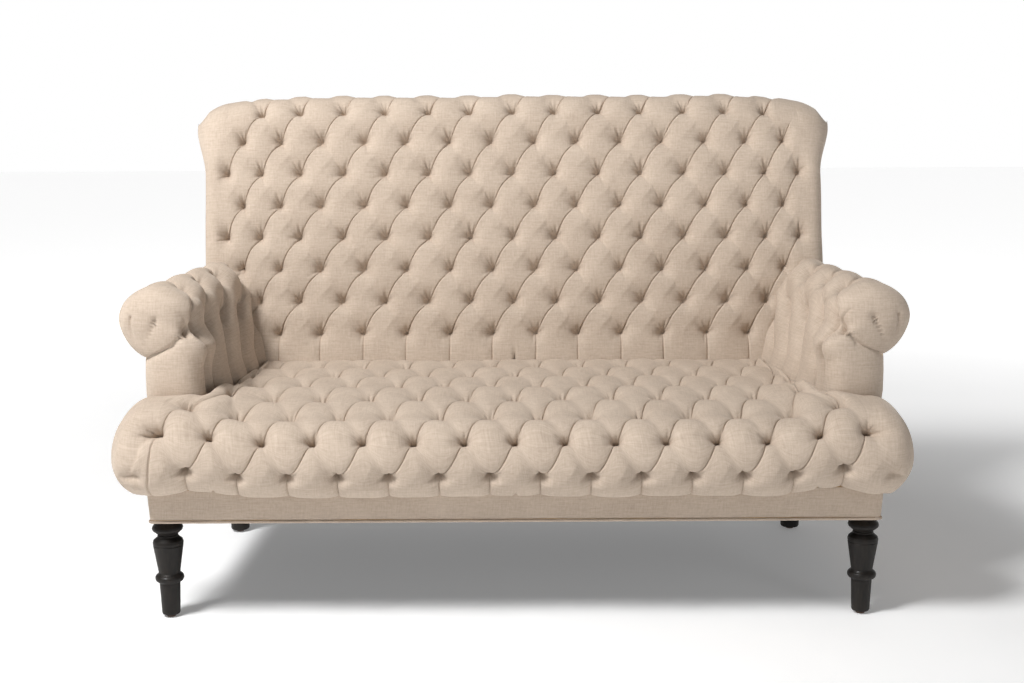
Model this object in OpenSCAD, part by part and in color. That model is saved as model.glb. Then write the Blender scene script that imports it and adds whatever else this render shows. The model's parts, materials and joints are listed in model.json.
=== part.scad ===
// Settee with a deep diamond-tufted seat, rolled arms, a rolled back and turned legs
// X runs to the right, Y to the rear and Z up; the origin is on the floor below the middle
// All sizes are in millimetres

/* [Seat frame] */
// Width over the side rails at the front
frame_w = 1552; // [1400:4:1900]
// Depth from the face of the front rail to the rear of the back posts
frame_d = 715; // [680:1:780]
// How far each side rail runs inwards on its way to the rear
frame_taper = 34; // [10:1:50]
// Height of the seat rails
rail_h = 94; // [88:1:110]
// Thickness of the seat rails
rail_t = 28; // [20:1:34]
// Side of the square corner blocks
block = 70; // [64:1:80]
// Depth of the back posts from front to rear
post_t = 35; // [30:1:40]
// Width of the back posts
post_w = 60; // [50:1:66]
// Radius on the outer edge of the front corner blocks
corner_r = 10; // [6:1:14]

/* [Seat] */
// Height of the tops of the seat's pillows
seat_h = 475; // [455:1:490]
// How far the rolled front edge stands in front of the rail
seat_over = 75; // [68:1:80]
// Depth of the seat from its front edge to the back
seat_d = 616; // [590:1:640]
// Radius of the rolled front edge, measured from front to rear
nose_r = 85; // [83:1:95]
// Height of the widest line of the rolled front edge
nose_z = 353; // [345:1:360]
// Height of the lower edge of the rolled front edge
nose_low = 285; // [282:1:300]
// Thickness of the seat foam
seat_foam_t = 50; // [40:1:60]
// Depth of the tufts in the seat
seat_tuft = 36; // [20:1:40]
// Distance between the rows of tufts on the seat
seat_row = 86; // [76:1:88]

/* [Back] */
// Height of the top of the rolled back
back_h = 1115; // [1060:1:1160]
// Radius of the rolled top with its padding
back_roll_r = 68; // [62:1:74]
// How far the back posts lean to the rear
back_lean = 45; // [30:1:60]
// How far the roll stands behind the outside back
back_roll_over = 45; // [38:1:50]
// How far the upholstered back stands out beyond its frame at each side
back_out = 23; // [15:1:46]
// Thickness of the tufted padding on the back and arms
pad_t = 40; // [36:1:44]
// How far the ends of the rolled top bulge out at the sides
roll_dome = 30; // [16:1:36]
// Depth of the tufts in the back and arms
back_tuft = 29; // [16:1:31]
// Number of tuft spacings up the back
back_rows = 8; // [7:1:9]
// Angle round the rolled top at which the highest row of tufts lies
top_row_angle = 98; // [92:1:104]
// Number of tuft spacings across the seat and back
tuft_cols = 14; // [12:2:16]
// Thickness of the board and cover on the outside back
panel_t = 4; // [3:1:6]

/* [Arms] */
// Height of the arms
arm_h = 720; // [690:1:750]
// Radius of the rolled arm with its padding
arm_roll_r = 73; // [68:1:78]
// How far the centre of the arm's roll stands outside the frame at the front
arm_out = 4; // [-4:1:20]
// How far the inner face of the arm lies inside the centre of its roll at seat height
arm_inner = 120; // [110:1:126]
// Distance from the face of the front rail to the line where the arm begins
arm_set = 78; // [74:1:100]
// Angle by which each arm opens towards the front
arm_splay = 6.5; // [5:0.5:8]
// Distance between the tufts along the arm
arm_pitch = 106; // [98:1:114]
// Distance between the rows of tufts on the arm
arm_row = 78; // [70:1:80]
// Thickness of the end boards of the arm frame
stump_t = 22; // [16:1:28]
// Depth of the padding on the front of the arm, at its edges
arm_front_t = 18; // [14:1:24]
// How far the padding on the front of the arm bulges out, above the seat
arm_bulge = 10; // [4:1:16]
// How far the outer face of the arm lies outside the centre of its roll
arm_side = 20; // [12:1:28]

/* [Legs] */
// Height of the underside of the frame above the floor
leg_h = 226; // [200:1:250]
// Distance from the side of the frame to the axis of a front leg
leg_in = 27; // [24:1:32]
// Distance from the face of the front rail to the axis of a front leg
leg_back = 43; // [38:1:46]
// Distance from the front of the back post to the axis of a rear leg
rear_leg_in = 15; // [12:1:22]
// Largest radius of the turned front leg
leg_r = 33; // [28:0.5:36]
// Radius of the front leg at its foot
foot_r = 19.5; // [16:0.5:22]
// Radius of the rear leg at its foot
rear_foot_r = 23.5; // [20:0.5:26]
// Radius of the rear leg at its top
rear_top_r = 30; // [27:0.5:32]
// Diameter of the bolts that hold the legs
bolt_d = 8; // [6:1:10]
// Diameter of the glides under the feet
glide_d = 22; // [18:1:26]
// Thickness of the glides under the feet
glide_t = 5; // [3:1:6]

/* [Covers] */
// Thickness of the cover over the front rail
border_t = 3; // [2:0.5:4]
// Diameter of the welt along the lower edge
welt_d = 6; // [4:0.5:7]
// Thickness of the burlap sheets
burlap_t = 2; // [1:0.5:3]
// Thickness of one layer of webbing
web_t = 2; // [1.5:0.5:2.5]
// Width of one strip of webbing
web_w = 50; // [40:1:60]
// Diameter of the spring wire
wire_d = 4; // [3:0.5:5]
// Widest radius of a seat spring at the middle of its wire
spring_r = 40; // [32:1:46]

/* [Hidden] */

$fn = 48;
linen = [0.80, 0.73, 0.65];
dark_wood = [0.09, 0.07, 0.06];
raw_wood = [0.80, 0.66, 0.45];
ply = [0.84, 0.72, 0.53];
foam_colour = [0.93, 0.88, 0.70];
jute = [0.66, 0.54, 0.36];
steel = [0.62, 0.63, 0.65];
gap = 0.3;

// Levels of the seat
rail_top = leg_h + rail_h;
deck = rail_top + burlap_t;
foam_top = deck + seat_foam_t;

// Lines of the plan, with the whole depth centred on the origin
front_y = -(seat_over + frame_d + back_lean + back_roll_over) / 2 + seat_over;
post_rear = front_y + frame_d;
post_front = post_rear - post_t;
seat_front = front_y - seat_over;
seat_rear = seat_front + seat_d;
function side_x(y) = frame_w / 2 - frame_taper * (y - front_y) / frame_d;
rear_x = side_x(post_rear);
back_half = rear_x + back_out;
arm_x = frame_w / 2 + arm_out;

// Roll of the back: centre, core and lean of the tufted face
back_c = [post_rear + back_lean + back_roll_over - back_roll_r, back_h - back_roll_r];
back_core_r = back_roll_r - pad_t;
// Inner depth of a pad, so that its faceted inside stays clear of the round core
function inner_depth(core_r) = pad_t - core_r * (1 / cos(20) - 1) - gap;
back_run = back_c - [seat_rear, seat_h];
back_rake = atan2(back_run[0], back_run[1]) - asin(back_roll_r / norm(back_run));
back_line = sqrt(back_run * back_run - back_roll_r * back_roll_r);
back_hidden = (seat_h - foam_top) / cos(back_rake);
back_len = back_line + back_hidden;
back_end_angle = 128;
back_arc = (back_end_angle + 90 - back_rake) * PI / 180 * back_roll_r;
lowest_row = 62;
back_low_s = back_hidden + lowest_row;
back_row = (back_len + (top_row_angle - back_rake) * PI / 180 * back_roll_r - back_low_s) / back_rows;
function post_y(z) = post_rear + back_lean * (z - leg_h) / (back_c[1] - leg_h);
function face_y(z) = back_c[0] - back_roll_r / cos(back_rake) - (back_c[1] - z) * tan(back_rake);

// Roll of the arm: radius of its core, lean of its inner face and its length
arm_z = arm_h - arm_roll_r;
arm_core_r = arm_roll_r - pad_t;
arm_y = front_y + arm_set;
arm_run = [arm_inner, arm_z - seat_h];
arm_lean = atan2(arm_run[0], arm_run[1]) - asin(arm_roll_r / norm(arm_run));
arm_line = sqrt(arm_run * arm_run - arm_roll_r * arm_roll_r);
arm_hidden = (seat_h - foam_top) / cos(arm_lean);
arm_len_s = arm_line + arm_hidden;
arm_end_angle = 165;
arm_arc = (arm_end_angle + 90 - arm_lean) * PI / 180 * arm_roll_r;
arm_lower_row = 600;
panel_top = arm_z - arm_roll_r + 2;
arm_foot_y = arm_y - arm_face_u(foam_top, 0) * sin(arm_splay);
arm_l = (post_front - arm_foot_y) / cos(arm_splay) - arm_roll_r * tan(arm_splay) - panel_t - gap;
function arm_face_u(z, d) = -(arm_roll_r - d) / cos(arm_lean) - (arm_z - z) * tan(arm_lean);
function roll_x(y) = arm_x - (y - arm_foot_y) * tan(arm_splay);
function inner_x(y, z) = roll_x(y) + arm_face_u(z, 0) / cos(arm_splay);

// A point at the distance s up a straight face and then round its roll, at the depth d below the crown
function roll_point(c, r, lean, len, s, d) =
    s <= len
    ? c + (r - d) * [-cos(lean), sin(lean)] - (len - s) * [sin(lean), cos(lean)]
    : let (a = lean + (s - len) / r * 180 / PI) c + (r - d) * [-cos(a), sin(a)];

// Height of the tufted surface from 0 in a tuft to 1 on a pillow, with rows counted downwards
function relief(x, row) =
    let (a = abs(sin(180 * (x + (row - 1) / 2))), b = abs(sin(180 * (x - (row - 1) / 2))))
    0.5 * pow(a, 0.6) * pow(b, 0.8) + 0.5 * (a + b - a * b);
function clamp(v, lo, hi) = min(max(v, lo), hi);
function dome(v, half, e) = let (o = max(0, abs(v) - half + e) / e) e * (1 - sqrt(max(0, 1 - o * o)));

// Faces of a tufted pad with n columns and m rows of cells, and inner points at the columns listed in ks
function pad_faces(n, m, ks) =
    let (nk = len(ks), w = n + 1, b0 = w * (m + 1), b1 = b0 + nk, b2 = b1 + 2 * (m - 1))
    let (left = [for (j = [0:m]) j == 0 ? b0 : j == m ? b2 : b1 + 2 * (j - 1)])
    let (right = [for (j = [0:m]) j == 0 ? b0 + nk - 1 : j == m ? b2 + nk - 1 : b1 + 2 * (j - 1) + 1])
    concat(
        [for (j = [0:m - 1]) for (i = [0:n - 1]) let (p = j * w + i)
            each [[p, p + w + 1, p + 1], [p, p + w, p + w + 1]]],
        [for (j = [0:m - 1]) each [[j * w, left[j], left[j + 1]], [j * w, left[j + 1], (j + 1) * w],
            [j * w + n, right[j + 1], right[j]], [j * w + n, (j + 1) * w + n, right[j + 1]]]],
        [for (j = [1:m - 2]) each
            [[left[j], right[j], right[j + 1]], [left[j], right[j + 1], left[j + 1]]]],
        [for (k = [0:nk - 2]) [left[1], b0 + k, b0 + k + 1]],
        [[left[1], b0 + nk - 1, right[1]], [left[m - 1], right[m - 1], b2 + nk - 1]],
        [for (k = [0:nk - 2]) [left[m - 1], b2 + k + 1, b2 + k]],
        [for (k = [0:nk - 2]) let (lo = ks[k], hi = ks[k + 1], mid = floor((lo + hi) / 2)) each concat(
            [for (i = [lo:hi - 1]) [i, i + 1, b0 + k + (i < mid ? 0 : 1)]], [[b0 + k, mid, b0 + k + 1]],
            [for (i = [lo:hi - 1]) [m * w + i + 1, m * w + i, b2 + k + (i < mid ? 0 : 1)]],
            [[b2 + k + 1, m * w + mid, b2 + k]])]);

// Upholstered pad over a straight face and round a roll, in the coordinates across, out and up
module rolled_pad(across, ks, steps, depth, c, r, lean, len, t) {
    n = len(across) - 1;
    m = len(steps) - 1;
    outer = [for (j = [0:m]) for (i = [0:n])
        let (p = roll_point(c, r, lean, len, steps[j], depth[j][i])) [across[i], p[0], p[1]]];
    inner = [for (s = steps) roll_point(c, r, lean, len, s, t)];
    points = concat(outer,
        [for (k = ks) [across[k], inner[0][0], inner[0][1]]],
        [for (j = [1:m - 1]) each
            [[across[0], inner[j][0], inner[j][1]], [across[n], inner[j][0], inner[j][1]]]],
        [for (k = ks) [across[k], inner[m][0], inner[m][1]]]);
    polyhedron(points, pad_faces(n, m, ks));
}

// Places what is drawn in the arm's own frame: out from the roll, along the arm and up
module arm_place(side) {
    if (side > 0) translate([arm_x, arm_foot_y, 0]) rotate([0, 0, arm_splay]) children();
    else mirror([1, 0, 0]) translate([arm_x, arm_foot_y, 0]) rotate([0, 0, arm_splay]) children();
}

// Extrudes an outline of the arm's cross-section along the arm, from v0 to v1
module along_arm(v0, v1) {
    translate([0, v1, 0]) rotate([90, 0, 0]) linear_extrude(v1 - v0) children();
}

// Outline of the arm at the depth d below its crown, from the level low up
module arm_outline(d, low, side_u, face_d) {
    polygon(concat(
        [[arm_face_u(low, face_d), low], [arm_face_u(arm_z - 20, face_d), arm_z - 20]],
        [for (a = [arm_lean:(180 - arm_lean) / 12:180]) [0, arm_z] + (arm_roll_r - d) * [-cos(a), sin(a)]],
        [for (a = [195:15:arm_end_angle + 90]) [0, arm_z] + (arm_roll_r - d) * [-cos(a), sin(a)]],
        [[arm_side, panel_top], [side_u, low]]));
}

// Space that one arm takes out of the back's padding
module arm_envelope(side) {
    l = arm_l + panel_t + gap;
    arm_place(side) {
        along_arm(0, l) arm_outline(-gap, deck, arm_side + panel_t + gap, -gap);
        translate([0, arm_front_t, deck - 1]) cube([2 * arm_roll_r, 2 * l, arm_z - deck + 1]);
    }
}

// Seat frame

module front_rail() {
    x = side_x(front_y + block) - block;
    color(raw_wood) translate([-x, front_y, leg_h]) cube([2 * x, rail_t, rail_h]);
}

module rear_rail() {
    x = rear_x - post_w;
    color(raw_wood) translate([-x, post_front, leg_h]) cube([2 * x, post_t, rail_h]);
}

module side_rail(side) {
    y0 = front_y + block;
    y1 = post_front - block;
    color(raw_wood) translate([0, 0, leg_h]) linear_extrude(rail_h) polygon([[side * side_x(y0), y0],
        [side * side_x(y1), y1], [side * (side_x(y1) - rail_t), y1], [side * (side_x(y0) - rail_t), y0]]);
}

module left_side_rail() { side_rail(-1); }

module right_side_rail() { side_rail(1); }

module centre_rail() {
    color(raw_wood) translate([-rail_t / 2, front_y + rail_t, leg_h])
        cube([rail_t, post_front - front_y - rail_t, rail_h * 0.5]);
}

// Axes of the four legs
function leg_axes() = let (yf = front_y + leg_back, yr = post_front - rear_leg_in)
    [[-frame_w / 2 + leg_in, yf], [frame_w / 2 - leg_in, yf],
    [-side_x(yr) + leg_in + 2, yr], [side_x(yr) - leg_in - 2, yr]];
bolt_up = 58;
nut_t = 8;

// One corner block, with the hole for the leg's bolt and the seat of its nut
module corner_block(y0, y1, axis, side, r) {
    x = side_x(y1) - block;
    difference() {
        translate([0, 0, leg_h]) linear_extrude(rail_h) polygon(concat(
            [[side * x, y0], [side * x, y1], [side * side_x(y1), y1]],
            r > 0
            ? [for (a = [0:15:90]) [side * (side_x(y0) - r + r * cos(a)), y0 + r - r * sin(a)]]
            : [[side * side_x(y0), y0]]));
        translate([axis[0], axis[1], leg_h - 1]) cylinder(d = bolt_d, h = bolt_up + 1);
        translate([axis[0], axis[1], leg_h + bolt_up - nut_t]) cylinder(d = bolt_d + 8, h = rail_h);
    }
}

module corner_blocks() {
    axes = leg_axes();
    color(raw_wood) for (k = [0:3]) {
        side = k % 2 == 0 ? -1 : 1;
        if (k < 2) corner_block(front_y, front_y + block, axes[k], side, corner_r);
        else corner_block(post_front - block, post_front, axes[k], side, 0);
    }
}

// Seat suspension

module seat_webbing_long() {
    y0 = front_y + block + 15;
    y1 = post_front - block - 15;
    color(jute) for (k = [0:4]) {
        y = y0 + (y1 - y0 - web_w) * k / 4;
        x = side_x(y + web_w) - 4;
        translate([-x, y, leg_h - web_t]) cube([2 * x, web_w, web_t]);
    }
}

spring_xs = [for (k = [-5:2:5]) k * (frame_w / 2 - 76) / 6];
spring_ys = [for (k = [0:2]) front_y + rail_t + (k + 0.5) * (frame_d - rail_t - post_t) / 3];

module seat_webbing_cross() {
    color(jute) for (x = spring_xs)
        translate([x - web_w / 2, front_y + 4, leg_h - 2 * web_t])
            cube([web_w, frame_d - 8, web_t]);
}

// Points of a coil spring, wide at its ends and narrow at its waist
spring_turns = 3;
spring_steps = 7 * spring_turns;
spring_rise = rail_h - wire_d * 0.75;
function spring_ring(k) =
    let (f = k / spring_steps, a = 360 * spring_turns * f, r = spring_r * (0.82 + 0.18 * abs(2 * f - 1)))
    [for (q = [90:120:330]) let (o = wire_d / 2 * [cos(q), sin(q)])
        [(r + o[0]) * cos(a), (r + o[0]) * sin(a), wire_d / 4 + spring_rise * f + o[1]]];

module seat_springs() {
    points = [for (k = [0:spring_steps]) each spring_ring(k)];
    last = 3 * spring_steps;
    faces = concat([[0, 2, 1], [last, last + 1, last + 2]],
        [for (k = [0:spring_steps - 1]) for (q = [0:2]) let (a = 3 * k + q, b = 3 * k + (q + 1) % 3)
            each [[a, b, b + 3], [a, b + 3, a + 3]]]);
    color(steel) for (x = spring_xs) for (y = spring_ys)
        translate([x, y, leg_h]) polyhedron(points, faces);
}

// Plan of the seat's inner layers, which pass between the arm boards behind the front edge
module seat_plan(y1, inset) {
    y0 = front_y;
    r = corner_r;
    xa = inner_x(arm_y, deck) + pad_t * 0.9 - inset;
    xr = inner_x(y1, deck) + pad_t * 0.9 - inset;
    half = concat(
        [for (a = [90:-15:0]) [side_x(y0) - r + r * cos(a), y0 + r - r * sin(a)]],
        [[side_x(arm_y) - 1, arm_y - 1], [xa, arm_y - 1], [xr, y1]]);
    polygon(concat(half, [for (k = [len(half) - 1:-1:0]) [-half[k][0], half[k][1]]]));
}

module seat_burlap() {
    color(jute) translate([0, 0, rail_top]) linear_extrude(burlap_t) seat_plan(post_front - 1, 0);
}

module seat_foam() {
    color(foam_colour) translate([0, 0, deck]) linear_extrude(seat_foam_t)
        seat_plan(face_y(foam_top) - gap, 0);
}

// Seat pad: a crowned tufted top whose edges roll round the front and the ends
seat_half = frame_w / 2 - (nose_r - seat_over);
seat_pitch = (2 * seat_half - 60) / tuft_cols;
nose_up = seat_h - 8 - nose_z;
nose_angles = [0, 42, 84, 128, 180 - asin((nose_r - seat_over) / nose_r)];
nose_down = (nose_z - nose_low) / -cos(nose_angles[4]);
row_c = seat_front + 135;
row_angles = [nose_angles[4], 132, 99, 80, 60, 30];
// Rows of the seat's grid from the lower front edge to the back, as [turn, y, tuft row]
seat_rows = concat(
    [for (k = [0:5]) [row_angles[k], seat_front + nose_r, [8, 8, 8, 7.5, 7, 6.5][k]]],
    [[0, row_c, 6], [0, arm_y - gap, 6 - (arm_y - gap - row_c) / seat_row]],
    [for (k = [1:floor(2 * (seat_rear - 25 - row_c) / seat_row)]) [0, row_c + k * seat_row / 2, 6 - k / 2]],
    [[0, seat_rear - gap, 0.5]]);
quarter_cols = 4 * tuft_cols;

function crown(x, y) = seat_h - 8 * pow(clamp(1 - (y - seat_front - nose_r) / 200, 0, 1), 2);

module seat_tufted_pad() {
    m = len(seat_rows) - 1;
    q = quarter_cols;
    n = q + 6;
    bend = 7;
    // Columns k0 to k1 stay between the arms, behind the front edge
    k1 = n / 2 + min(floor(inner_x(arm_y, seat_h) / (seat_pitch / 4)), q / 2 - 2);
    k0 = n - k1;
    tuft_x = [for (i = [0:n]) i <= 4 || i >= n - 4 ? sign(i - n / 2) * q / 8 : (i - n / 2) / 4];
    turn_x = [for (i = [0:n]) i < 4 ? nose_angles[4 - i] : i > n - 4 ? nose_angles[i - n + 4] : 0];
    // Columns outside this one draw together as the arms close in to the rear
    keep = floor(inner_x(seat_rear, seat_h) / (seat_pitch / 4)) - 1;
    keep_x = keep * seat_pitch / 4;
    span = k1 - n / 2 - keep;
    function col_x(i, j) =
        let (s = sign(i - n / 2), y = seat_rows[j][1], out = s * (i - n / 2) - keep)
        j >= bend && out > 0 && out <= span
        ? s * (keep_x + out / span * (inner_x(y, seat_h) - gap - keep_x))
        : i <= 4 || i >= n - 4 ? s * seat_half : tuft_x[i] * seat_pitch;
    function pad_point(i, j) =
        let (row = seat_rows[j], tx = turn_x[i], ty = row[0], turn = max(tx, ty))
        let (d = turn > 150 ? 0 : seat_tuft * (1 - relief(tuft_x[i], row[2])) * (turn > 110 ? 0.7 : 1))
        let (sx = sign(i - n / 2), len2 = norm([tx, ty]), dir = turn == 0 ? [0, 0] : [sx * tx, -ty] / len2)
        let (base = turn == 0 ? crown(0, row[1]) : crown(0, ty > 0 ? seat_front + nose_r : row[1]))
        let (up = turn <= 90 ? base - nose_z : nose_down, reach = nose_r - d * (turn > 0 ? 1 : 0))
        turn == 0
        ? [col_x(i, j), row[1], base - d]
        : [col_x(i, j) + dir[0] * reach * sin(turn), row[1] + dir[1] * reach * sin(turn),
            nose_z + (up - d * (turn <= 90 ? 1 : 0.6)) * cos(turn)];
    top = [for (j = [0:m]) for (i = [0:n]) pad_point(i, j)];
    // Outer edge of the pad, in turn round its plan
    ring = concat(
        [for (i = [0:n]) [i, 0]], [for (j = [1:bend]) [n, j]],
        [for (i = [n - 1:-1:k1]) [i, bend]], [for (j = [bend + 1:m]) [k1, j]],
        [for (i = [k1 - 1:-1:k0]) [i, m]], [for (j = [m - 1:-1:bend]) [k0, j]],
        [for (i = [k0 - 1:-1:0]) [i, bend]], [for (j = [bend - 1:-1:1]) [0, j]]);
    nr = len(ring);
    function under(g) = let (p = pad_point(g[0], g[1]))
        [g[1] > bend ? p[0] * inner_x(p[1], foam_top) / inner_x(p[1], seat_h) : p[0],
        g[1] == m ? face_y(foam_top) - gap : p[1], foam_top];
    // The rear of each front corner closes on one point of the lower edge
    function low(g) = let (i = ring[g][0])
        b + (ring[g][1] != bend ? g : i < 4 ? nr - bend : i > n - 4 ? n + bend : g);
    lower = [for (g = ring) under(g)];
    points = concat(top, lower, [[0, (front_y + arm_y) / 2, foam_top]]);
    w = n + 1;
    b = len(top);
    hub = b + nr;
    cells = concat(
        [for (j = [0:bend - 1]) for (i = [0:n - 1]) j * w + i],
        [for (j = [bend:m - 1]) for (i = [k0:k1 - 1]) j * w + i]);
    faces = concat(
        [for (p = cells) each [[p, p + w + 1, p + 1], [p, p + w, p + w + 1]]],
        [for (g = [0:nr - 1])
            let (h = (g + 1) % nr, a = ring[g][1] * w + ring[g][0], c = ring[h][1] * w + ring[h][0])
            each low(g) == low(h) ? [[a, c, low(h)]]
                : [[a, c, low(h)], [a, low(h), low(g)], [low(g), low(h), hub]]]);
    color(linen) polyhedron(points, faces);
}

// Covers of the seat frame

module front_border() {
    t = border_t;
    x = frame_w / 2;
    r = corner_r;
    function edge(o) = concat(
        [[side_x(arm_y) + o, arm_y - gap]],
        [for (a = [0:15:90]) [x - r + (r + o) * cos(a), front_y + r - (r + o) * sin(a)]]);
    right = edge(t);
    inside = edge(0);
    c = len(right) - 1;
    color(linen) translate([0, 0, leg_h]) linear_extrude(nose_low - leg_h - gap) polygon(concat(
        right, [for (k = [c:-1:0]) [-right[k][0], right[k][1]]],
        [for (k = [0:c]) [-inside[k][0], inside[k][1]]], [for (k = [c:-1:0]) inside[k]]));
}

module welt_cord() {
    r = welt_d / 2;
    z = leg_h - r;
    o = border_t - r + 1;
    x = frame_w / 2 + o;
    bend = corner_r + o;
    ys = front_y - o;
    run = atan2(frame_taper, frame_d);
    side_len = (post_rear - r - ys - bend) / cos(run);
    color(linen) {
        translate([-x + bend, ys, z]) rotate([0, 90, 0]) cylinder(r = r, h = 2 * (x - bend));
        for (s = [-1, 1]) {
            translate([s * (x - bend), ys + bend, z]) rotate([0, 0, s > 0 ? -90 : 180])
                rotate_extrude(angle = 90) translate([bend, 0]) circle(r = r);
            translate([s * x, ys + bend, z]) sphere(r = r);
            translate([s * x, ys + bend, z]) rotate([-90, 0, s * run]) cylinder(r = r, h = side_len);
        }
    }
}

module dust_cover() {
    t = 1;
    y0 = front_y + 6;
    y1 = post_rear - 6;
    axes = leg_axes();
    color([0.16, 0.15, 0.15]) difference() {
        translate([0, 0, leg_h - 2 * web_t - t]) linear_extrude(t) polygon([[-side_x(y0) + 6, y0],
            [side_x(y0) - 6, y0], [side_x(y1) - 6, y1], [-side_x(y1) + 6, y1]]);
        for (a = axes) translate([a[0], a[1], 0]) cylinder(r = leg_r + 1.5, h = leg_h);
    }
}

// Back frame

// Outline of the back frame seen from the side, between the levels z0 and z1
module back_profile(z0, z1, t) {
    polygon([[post_y(z0) - t, z0], [post_y(z0), z0], [post_y(z1), z1], [post_y(z1) - t, z1]]);
}

// Extrudes an outline of the side view along X, from x0 to x1
module across(x0, x1) {
    translate([x0, 0, 0]) rotate([90, 0, 90]) linear_extrude(x1 - x0) children();
}

module roll_hole() {
    translate([-frame_w, back_c[0], back_c[1]]) rotate([0, 90, 0])
        cylinder(r = back_core_r, h = 2 * frame_w);
}

module back_post(side) {
    color(raw_wood) difference() {
        across(side > 0 ? rear_x - post_w : -rear_x, side > 0 ? rear_x : post_w - rear_x)
            back_profile(leg_h, top_rail_z, post_t);
        roll_hole();
    }
}

module left_back_post() { back_post(-1); }

module right_back_post() { back_post(1); }

// Heights of the rails of the back frame
top_rail_h = 78;
tack_rail_h = 60;
slat_w = 60;
top_rail_z = back_c[1] - back_core_r * 0.7;

module back_top_rail() {
    x = rear_x - post_w;
    color(raw_wood) difference() {
        across(-x, x) back_profile(top_rail_z - top_rail_h, top_rail_z, post_t);
        roll_hole();
    }
}

module back_tack_rail() {
    x = rear_x - post_w;
    color(raw_wood) across(-x, x) back_profile(foam_top, foam_top + tack_rail_h, post_t);
}

module back_slats() {
    low = foam_top + tack_rail_h;
    color(raw_wood) for (s = [-1, 1]) across(s * x_slat - slat_w / 2, s * x_slat + slat_w / 2)
        back_profile(low, top_rail_z - top_rail_h, post_t);
}
x_slat = rear_x / 3;

module back_roll_core() {
    color(raw_wood) translate([-back_half, back_c[0], back_c[1]]) rotate([0, 90, 0])
        cylinder(r = back_core_r, h = 2 * back_half);
}

// Inner limit of the back's padding at the level z
function back_inner_y(z) = face_y(z) + inner_depth(back_core_r) / cos(back_rake);
foam_high = back_c[1] - back_core_r * 1.25;

module back_burlap() {
    x = rear_x - 2;
    color(jute) difference() {
        across(-x, x) polygon([[post_y(foam_top) - post_t - burlap_t, foam_top],
            [post_y(foam_top) - post_t, foam_top], [post_y(foam_high - 60) - post_t, foam_high - 60],
            [post_y(foam_high - 60) - post_t - burlap_t, foam_high - 60]]);
        for (s = [-1, 1]) arm_envelope(s);
    }
}

module back_foam() {
    z1 = foam_high - 60;
    color(foam_colour) difference() {
        across(-rear_x, rear_x) polygon([[back_inner_y(foam_top) + gap, foam_top],
            [post_y(foam_top) - post_t - burlap_t, foam_top], [post_y(z1) - post_t - burlap_t, z1],
            [max(post_y(z1) - post_t - burlap_t - 12, back_inner_y(z1) + gap), z1 + 6],
            [back_inner_y(z1) + gap, z1]]);
        for (s = [-1, 1]) arm_envelope(s);
    }
}

// Rows and columns of the back's grid
back_edge = 23;
// Share of the tufts' depth that the pleats keep behind the last row, over the rolls
pleat_fade = 0.45;
back_pitch = 2 * (back_half - back_edge) / tuft_cols;
back_top_s = back_low_s + back_rows * back_row;
back_steps = concat([0], [for (k = [0:2 * back_rows]) back_low_s + k * back_row / 2],
    [for (k = [1:3]) back_top_s + k / 3 * (back_len + back_arc - back_top_s)]);
back_end = 2 * tuft_cols;
back_quarters = [-back_end, 2 - back_end, for (k = [4 - back_end:back_end - 4]) k, back_end - 2, back_end];
back_cols = concat([-back_half], [for (k = back_quarters) k * back_pitch / 4], [back_half]);

module back_tufted_pad() {
    n = len(back_cols) - 1;
    m = len(back_steps) - 1;
    lim = tuft_cols / 2;
    depth = [for (j = [0:m]) [for (i = [0:n])
        let (free = back_rows - (back_steps[j] - back_low_s) / back_row, row = clamp(free, 0, back_rows))
        let (x = clamp(back_cols[i] / back_pitch, -lim, lim))
        back_tuft * (1 - relief(x, row)) * (i == 0 || i == n ? 0.3 : 1) * (free < -0.2 ? pleat_fade : 1)
            + dome(back_cols[i], back_half, back_edge + 8) * 0.6 + (j == m ? 5 : 0)]];
    ks = concat([0, 1], [for (k = [1:tuft_cols - 1]) 4 * k - 1], [n - 1, n]);
    color(linen) difference() {
        rolled_pad(back_cols, ks, back_steps, depth, back_c, back_roll_r, back_rake, back_len,
            inner_depth(back_core_r));
        for (s = [-1, 1]) arm_envelope(s);
    }
}

// Padded side of the back, from the tufted face to the outside back, with the domed end of the roll
module back_side(side) {
    z0 = leg_h;
    z1 = back_c[1] - back_roll_r;
    x1 = back_half - panel_t;
    dome_r = back_roll_r - 4;
    color(linen) {
        across(side > 0 ? rear_x : -x1, side > 0 ? x1 : -rear_x) polygon([
            [post_front, z0], [post_y(z0), z0], [post_y(z1), z1], [back_inner_y(z1) + gap, z1],
            [back_inner_y(arm_h) + gap, arm_h + gap], [post_front, arm_h + gap]]);
        translate([side * back_half, back_c[0], back_c[1]]) rotate([0, side * 90, 0])
            rotate_extrude() polygon(concat([[0, 0]],
                [for (a = [0:10:90]) [dome_r * cos(a), roll_dome * sin(a)]]));
    }
}

module left_back_side() { back_side(-1); }

module right_back_side() { back_side(1); }

module outside_back_panel() {
    z1 = back_c[1] - back_roll_r + 8;
    color(linen) across(-back_half + panel_t, back_half - panel_t) polygon([[post_y(leg_h), leg_h],
        [post_y(leg_h) + panel_t, leg_h], [post_y(z1) + panel_t, z1], [post_y(z1), z1]]);
}

// Arms

// End board of the arm frame, standing on the side rail at the distance v along the arm
module arm_end_board(side, v) {
    y = arm_foot_y + v * cos(arm_splay);
    foot_u = (side_x(y) - roll_x(y)) * cos(arm_splay);
    color(ply) arm_place(side) along_arm(v, v + stump_t)
        arm_outline(pad_t, rail_top, foot_u, inner_depth(arm_core_r) + gap);
}

module left_arm_front_board() { arm_end_board(-1, arm_front_t); }

module right_arm_front_board() { arm_end_board(1, arm_front_t); }

module left_arm_rear_board() { arm_end_board(-1, arm_l - stump_t); }

module right_arm_rear_board() { arm_end_board(1, arm_l - stump_t); }

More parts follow.
